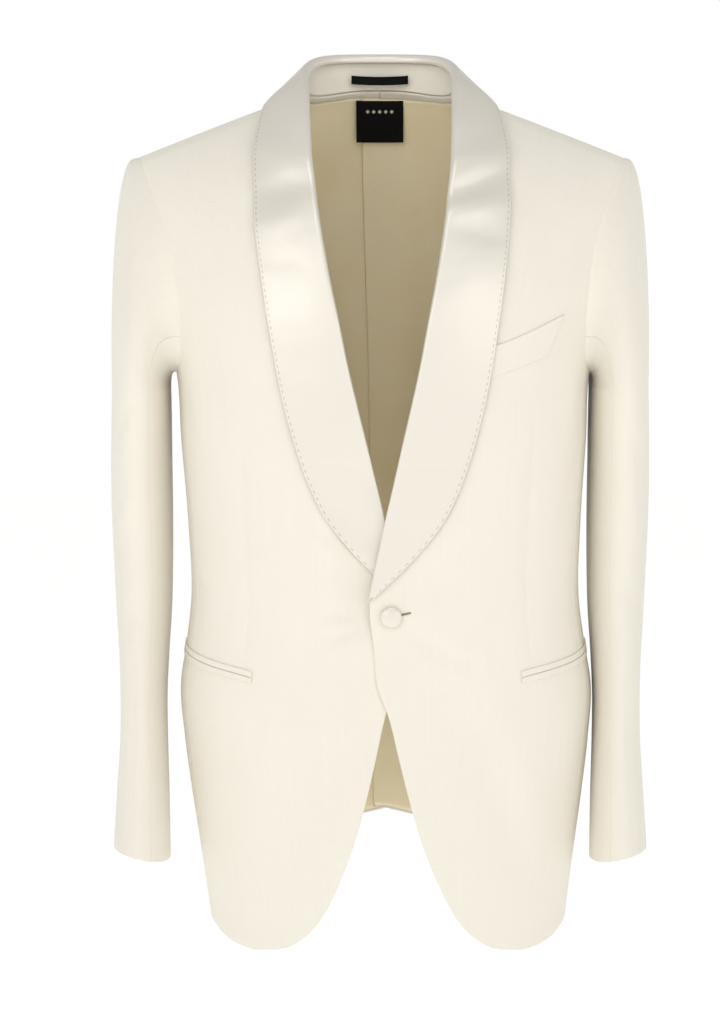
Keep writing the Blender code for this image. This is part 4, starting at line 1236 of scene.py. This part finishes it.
# --- Label and hanger loop --------------------------------------------------------------------------
# A black damask label, sewn to the lining below the neck, and a black tape loop to hang the jacket by,
# caught into the stand at both ends. The label's motif is a plain row of woven lozenges.

LOZENGE_HEIGHT = -0.0115    # height of the row of lozenges
LOZENGE_STEP = 0.0058    # one lozenge to the next
LOZENGE_HALF = 0.0019    # a lozenge from its middle to a corner
LOZENGE_ROW = 0.0145     # half the length of the row
TAPE_RIB = 0.0010        # spacing of the weave's ribs, which come out 1.1 mm apart


def black_tape(name, thread=None):
    """Black polyester weave with fine ribs, which are drawn at 1.1 mm, coarser than they are, so that
    they show. Where a thread colour is given, it weaves a row of lozenges: a lozenge is where the
    distances across and up from its middle add up to less than its half."""
    material, shader = new_material(name, {"Roughness": 0.8, "Specular IOR Level": 0.15})
    flat = node(material, "ShaderNodeUVMap", {}, uv_map="flat_cloth")
    ribs = node(material, "ShaderNodeTexWave", {"Vector": (flat, "UV"), "Scale": RIBS / TAPE_RIB},
                bands_direction="Y")
    raise_threads(material, shader, [(ribs, "Fac")], (0.00008,))
    if thread is None:
        blend_colour(material, shader, (ribs, "Fac"), "#060607", "#0E0E10")
        return material
    parts = node(material, "ShaderNodeSeparateXYZ", {"Vector": (flat, "UV")})
    step = node(material, "ShaderNodeMath", {0: (parts, "X"), 1: LOZENGE_STEP / 2, 2: -LOZENGE_STEP / 2},
                operation="WRAP")
    side_way = node(material, "ShaderNodeMath", {0: (step, "Value")}, operation="ABSOLUTE")
    up_way = node(material, "ShaderNodeMath", {0: (parts, "Y"), 1: LOZENGE_HEIGHT}, operation="SUBTRACT")
    up_way = node(material, "ShaderNodeMath", {0: (up_way, "Value")}, operation="ABSOLUTE")
    total = node(material, "ShaderNodeMath", {0: (side_way, "Value"), 1: (up_way, "Value")}, operation="ADD")
    lozenge = node(material, "ShaderNodeMath", {0: (total, "Value"), 1: LOZENGE_HALF}, operation="LESS_THAN")
    middle = node(material, "ShaderNodeMath", {0: (parts, "X")}, operation="ABSOLUTE")
    within = node(material, "ShaderNodeMath", {0: (middle, "Value"), 1: LOZENGE_ROW}, operation="LESS_THAN")
    shown = node(material, "ShaderNodeMath", {0: (lozenge, "Value"), 1: (within, "Value")},
                 operation="MULTIPLY")
    blend_colour(material, shader, (shown, "Value"), "#080809", thread)
    return material


LABEL_HALF = 0.0225      # half the label's width
LABEL_FOOT, LABEL_RISE = -0.0406, 0.0390    # height of its lower edge, and from there to its upper one
LABEL_WALL, LABEL_EDGE = 0.0008, 0.0006    # its wall, and how far in from an edge it rounds off
LABEL_DEPTH = 0.0098     # how far inside the back's outer face it lies, in front of the lining
LABEL_BOW = 0.0042       # how far its sides come forward of its middle, on a parabola

share = lines(34, (0.01, 0.025))
label_x = LABEL_HALF - 2 * LABEL_HALF * share
label_z = LABEL_FOOT + LABEL_RISE * share[:, None] + 0 * label_x
centre = on_form(LEFT, 2 - around_at(0 * label_z, label_z), label_z, -LABEL_DEPTH)
bow = (label_x / LABEL_HALF) ** 2 * LABEL_BOW
label_grid = np.stack([label_x - LEAN * label_z, centre[..., 1] - bow, label_z], -1)
label_out = unit(np.cross(np.gradient(label_grid, axis=1), np.gradient(label_grid, axis=0)))
label_flat = np.stack([label_x + 0 * label_z, label_z], -1)
damask = black_tape("black_damask_label", "#B9B4A6")
label = cloth("label_weave", label_grid, label_out, label_flat, damask, LABEL_WALL, LABEL_EDGE)
sew(label, ["label"], "black_weave", (0.046, 0.044), 0.0019)

LOOP_HALF = 0.027        # half the loop's length from end to end
LOOP_WIDTH = 0.0080      # width of its tape
LOOP_WALL, LOOP_EDGE = 0.0009, 0.0005    # its wall, and how far in from an edge it rounds off
LOOP_BACK, LOOP_CURVE = 0.0710, 4.2    # place of its middle, and the parabola on which it follows the neck
LOOP_FOOT = 0.0135       # height of its lower edge at the ends
LOOP_SLACK = 0.0012      # how far its middle comes forward
LOOP_SAG = 0.0010        # how far its middle hangs
LOOP_CUP = 0.0007        # how far it is cupped across its width

share, up = lines(90, (0.006,)), lines(12, (0.05, 0.12))[:, None]
loop_x = -LOOP_HALF + 2 * LOOP_HALF * share
slack = 1 - (loop_x / LOOP_HALF) ** 2
loop_y = LOOP_BACK - LOOP_CURVE * loop_x ** 2 - LOOP_SLACK * slack + LOOP_CUP * np.sin(up * math.pi)
loop_z = LOOP_FOOT + LOOP_WIDTH * up - LOOP_SAG * slack
loop_grid = np.stack(np.broadcast_arrays(loop_x, loop_y, loop_z), -1)[:, ::-1]
loop_out = unit(np.cross(np.gradient(loop_grid, axis=1), np.gradient(loop_grid, axis=0)))
loop_flat = np.stack([reach(loop_grid, 1), reach(loop_grid, 0)], -1)
grosgrain = black_tape("black_grosgrain_tape")
loop = cloth("hanger_loop_tape", loop_grid, loop_out, loop_flat, grosgrain, LOOP_WALL, LOOP_EDGE)
sew(loop, ["hanger_loop"], "black_weave", (0.058, 0.010), 0.00046)


# --- Camera, light and floor ------------------------------------------------------------------------
# A plain studio: a long lens at chest height, two large soft boxes in front, a smaller one above the
# collar and a pale floor.

camera = bpy.data.objects.new("camera", bpy.data.cameras.new("camera"))
camera.data.lens = 97.1
camera.location = (-0.0188, -2.5901, -0.1634)
camera.rotation_euler = (math.radians(85), 0, 0)
bpy.context.scene.collection.objects.link(camera)
bpy.context.scene.camera = camera

# Soft boxes: place, turn in degrees, width in metres and power in watts
LIGHTS = (
    ("key_box", (-1.9, -2.6, 0.9), (67, 0, -36), 1.8, 15.0),
    ("fill_box", (2.1, -2.5, 0.7), (70, 0, 40), 1.8, 9.5),
    ("top_box", (0.0, -1.7, 1.7), (43, 0, 0), 1.0, 8.0),
)
for name, place, turn, width, power in LIGHTS:
    light = bpy.data.lights.new(name, "AREA")
    light.size = width
    light.energy = power
    lamp = bpy.data.objects.new(name, light)
    lamp.location = place
    lamp.rotation_euler = [math.radians(angle) for angle in turn]
    bpy.context.scene.collection.objects.link(lamp)

world = bpy.data.worlds.new("studio")
world.use_nodes = True
sky = world.node_tree
direction = sky.nodes.new("ShaderNodeTexCoord")
parts = sky.nodes.new("ShaderNodeSeparateXYZ")
ramp = sky.nodes.new("ShaderNodeValToRGB")
sky.links.new(parts.inputs["Vector"], direction.outputs["Generated"])
sky.links.new(ramp.inputs["Fac"], parts.outputs["Z"])
sky.links.new(sky.nodes["Background"].inputs["Color"], ramp.outputs["Color"])
SKY = ((0.12, 1.0), (0.60, 0.42))    # way up from level to overhead, and how light the sky is there
for stop, (way_up, light) in zip(ramp.color_ramp.elements, SKY):
    stop.position = way_up
    stop.color = (light, light, light, 1.0)
bpy.context.scene.view_settings.view_transform = "Standard"
bpy.context.scene.world = world

FLOOR_Z, FLOOR_HALF = -1.5, 14.0
FLOOR_GLOW = 0.52
floor_mesh = bpy.data.meshes.new("floor")
corners = np.array([(-1, -1), (1, -1), (1, 1), (-1, 1)]) * FLOOR_HALF
floor_mesh.from_pydata([(x, y, FLOOR_Z) for x, y in corners.tolist()], [], [(0, 1, 2, 3)])
# Matt white studio paper. Its glow stands for the light of a white room, which the sky leaves out below.
paper, _ = new_material("white_floor", {
    "Base Color": colour("#F7F7F5"), "Roughness": 0.9,
    "Emission Color": (1.0, 1.0, 1.0, 1.0), "Emission Strength": FLOOR_GLOW})
floor_mesh.materials.append(paper)
floor = bpy.data.objects.new("floor", floor_mesh)
bpy.context.scene.collection.objects.link(floor)
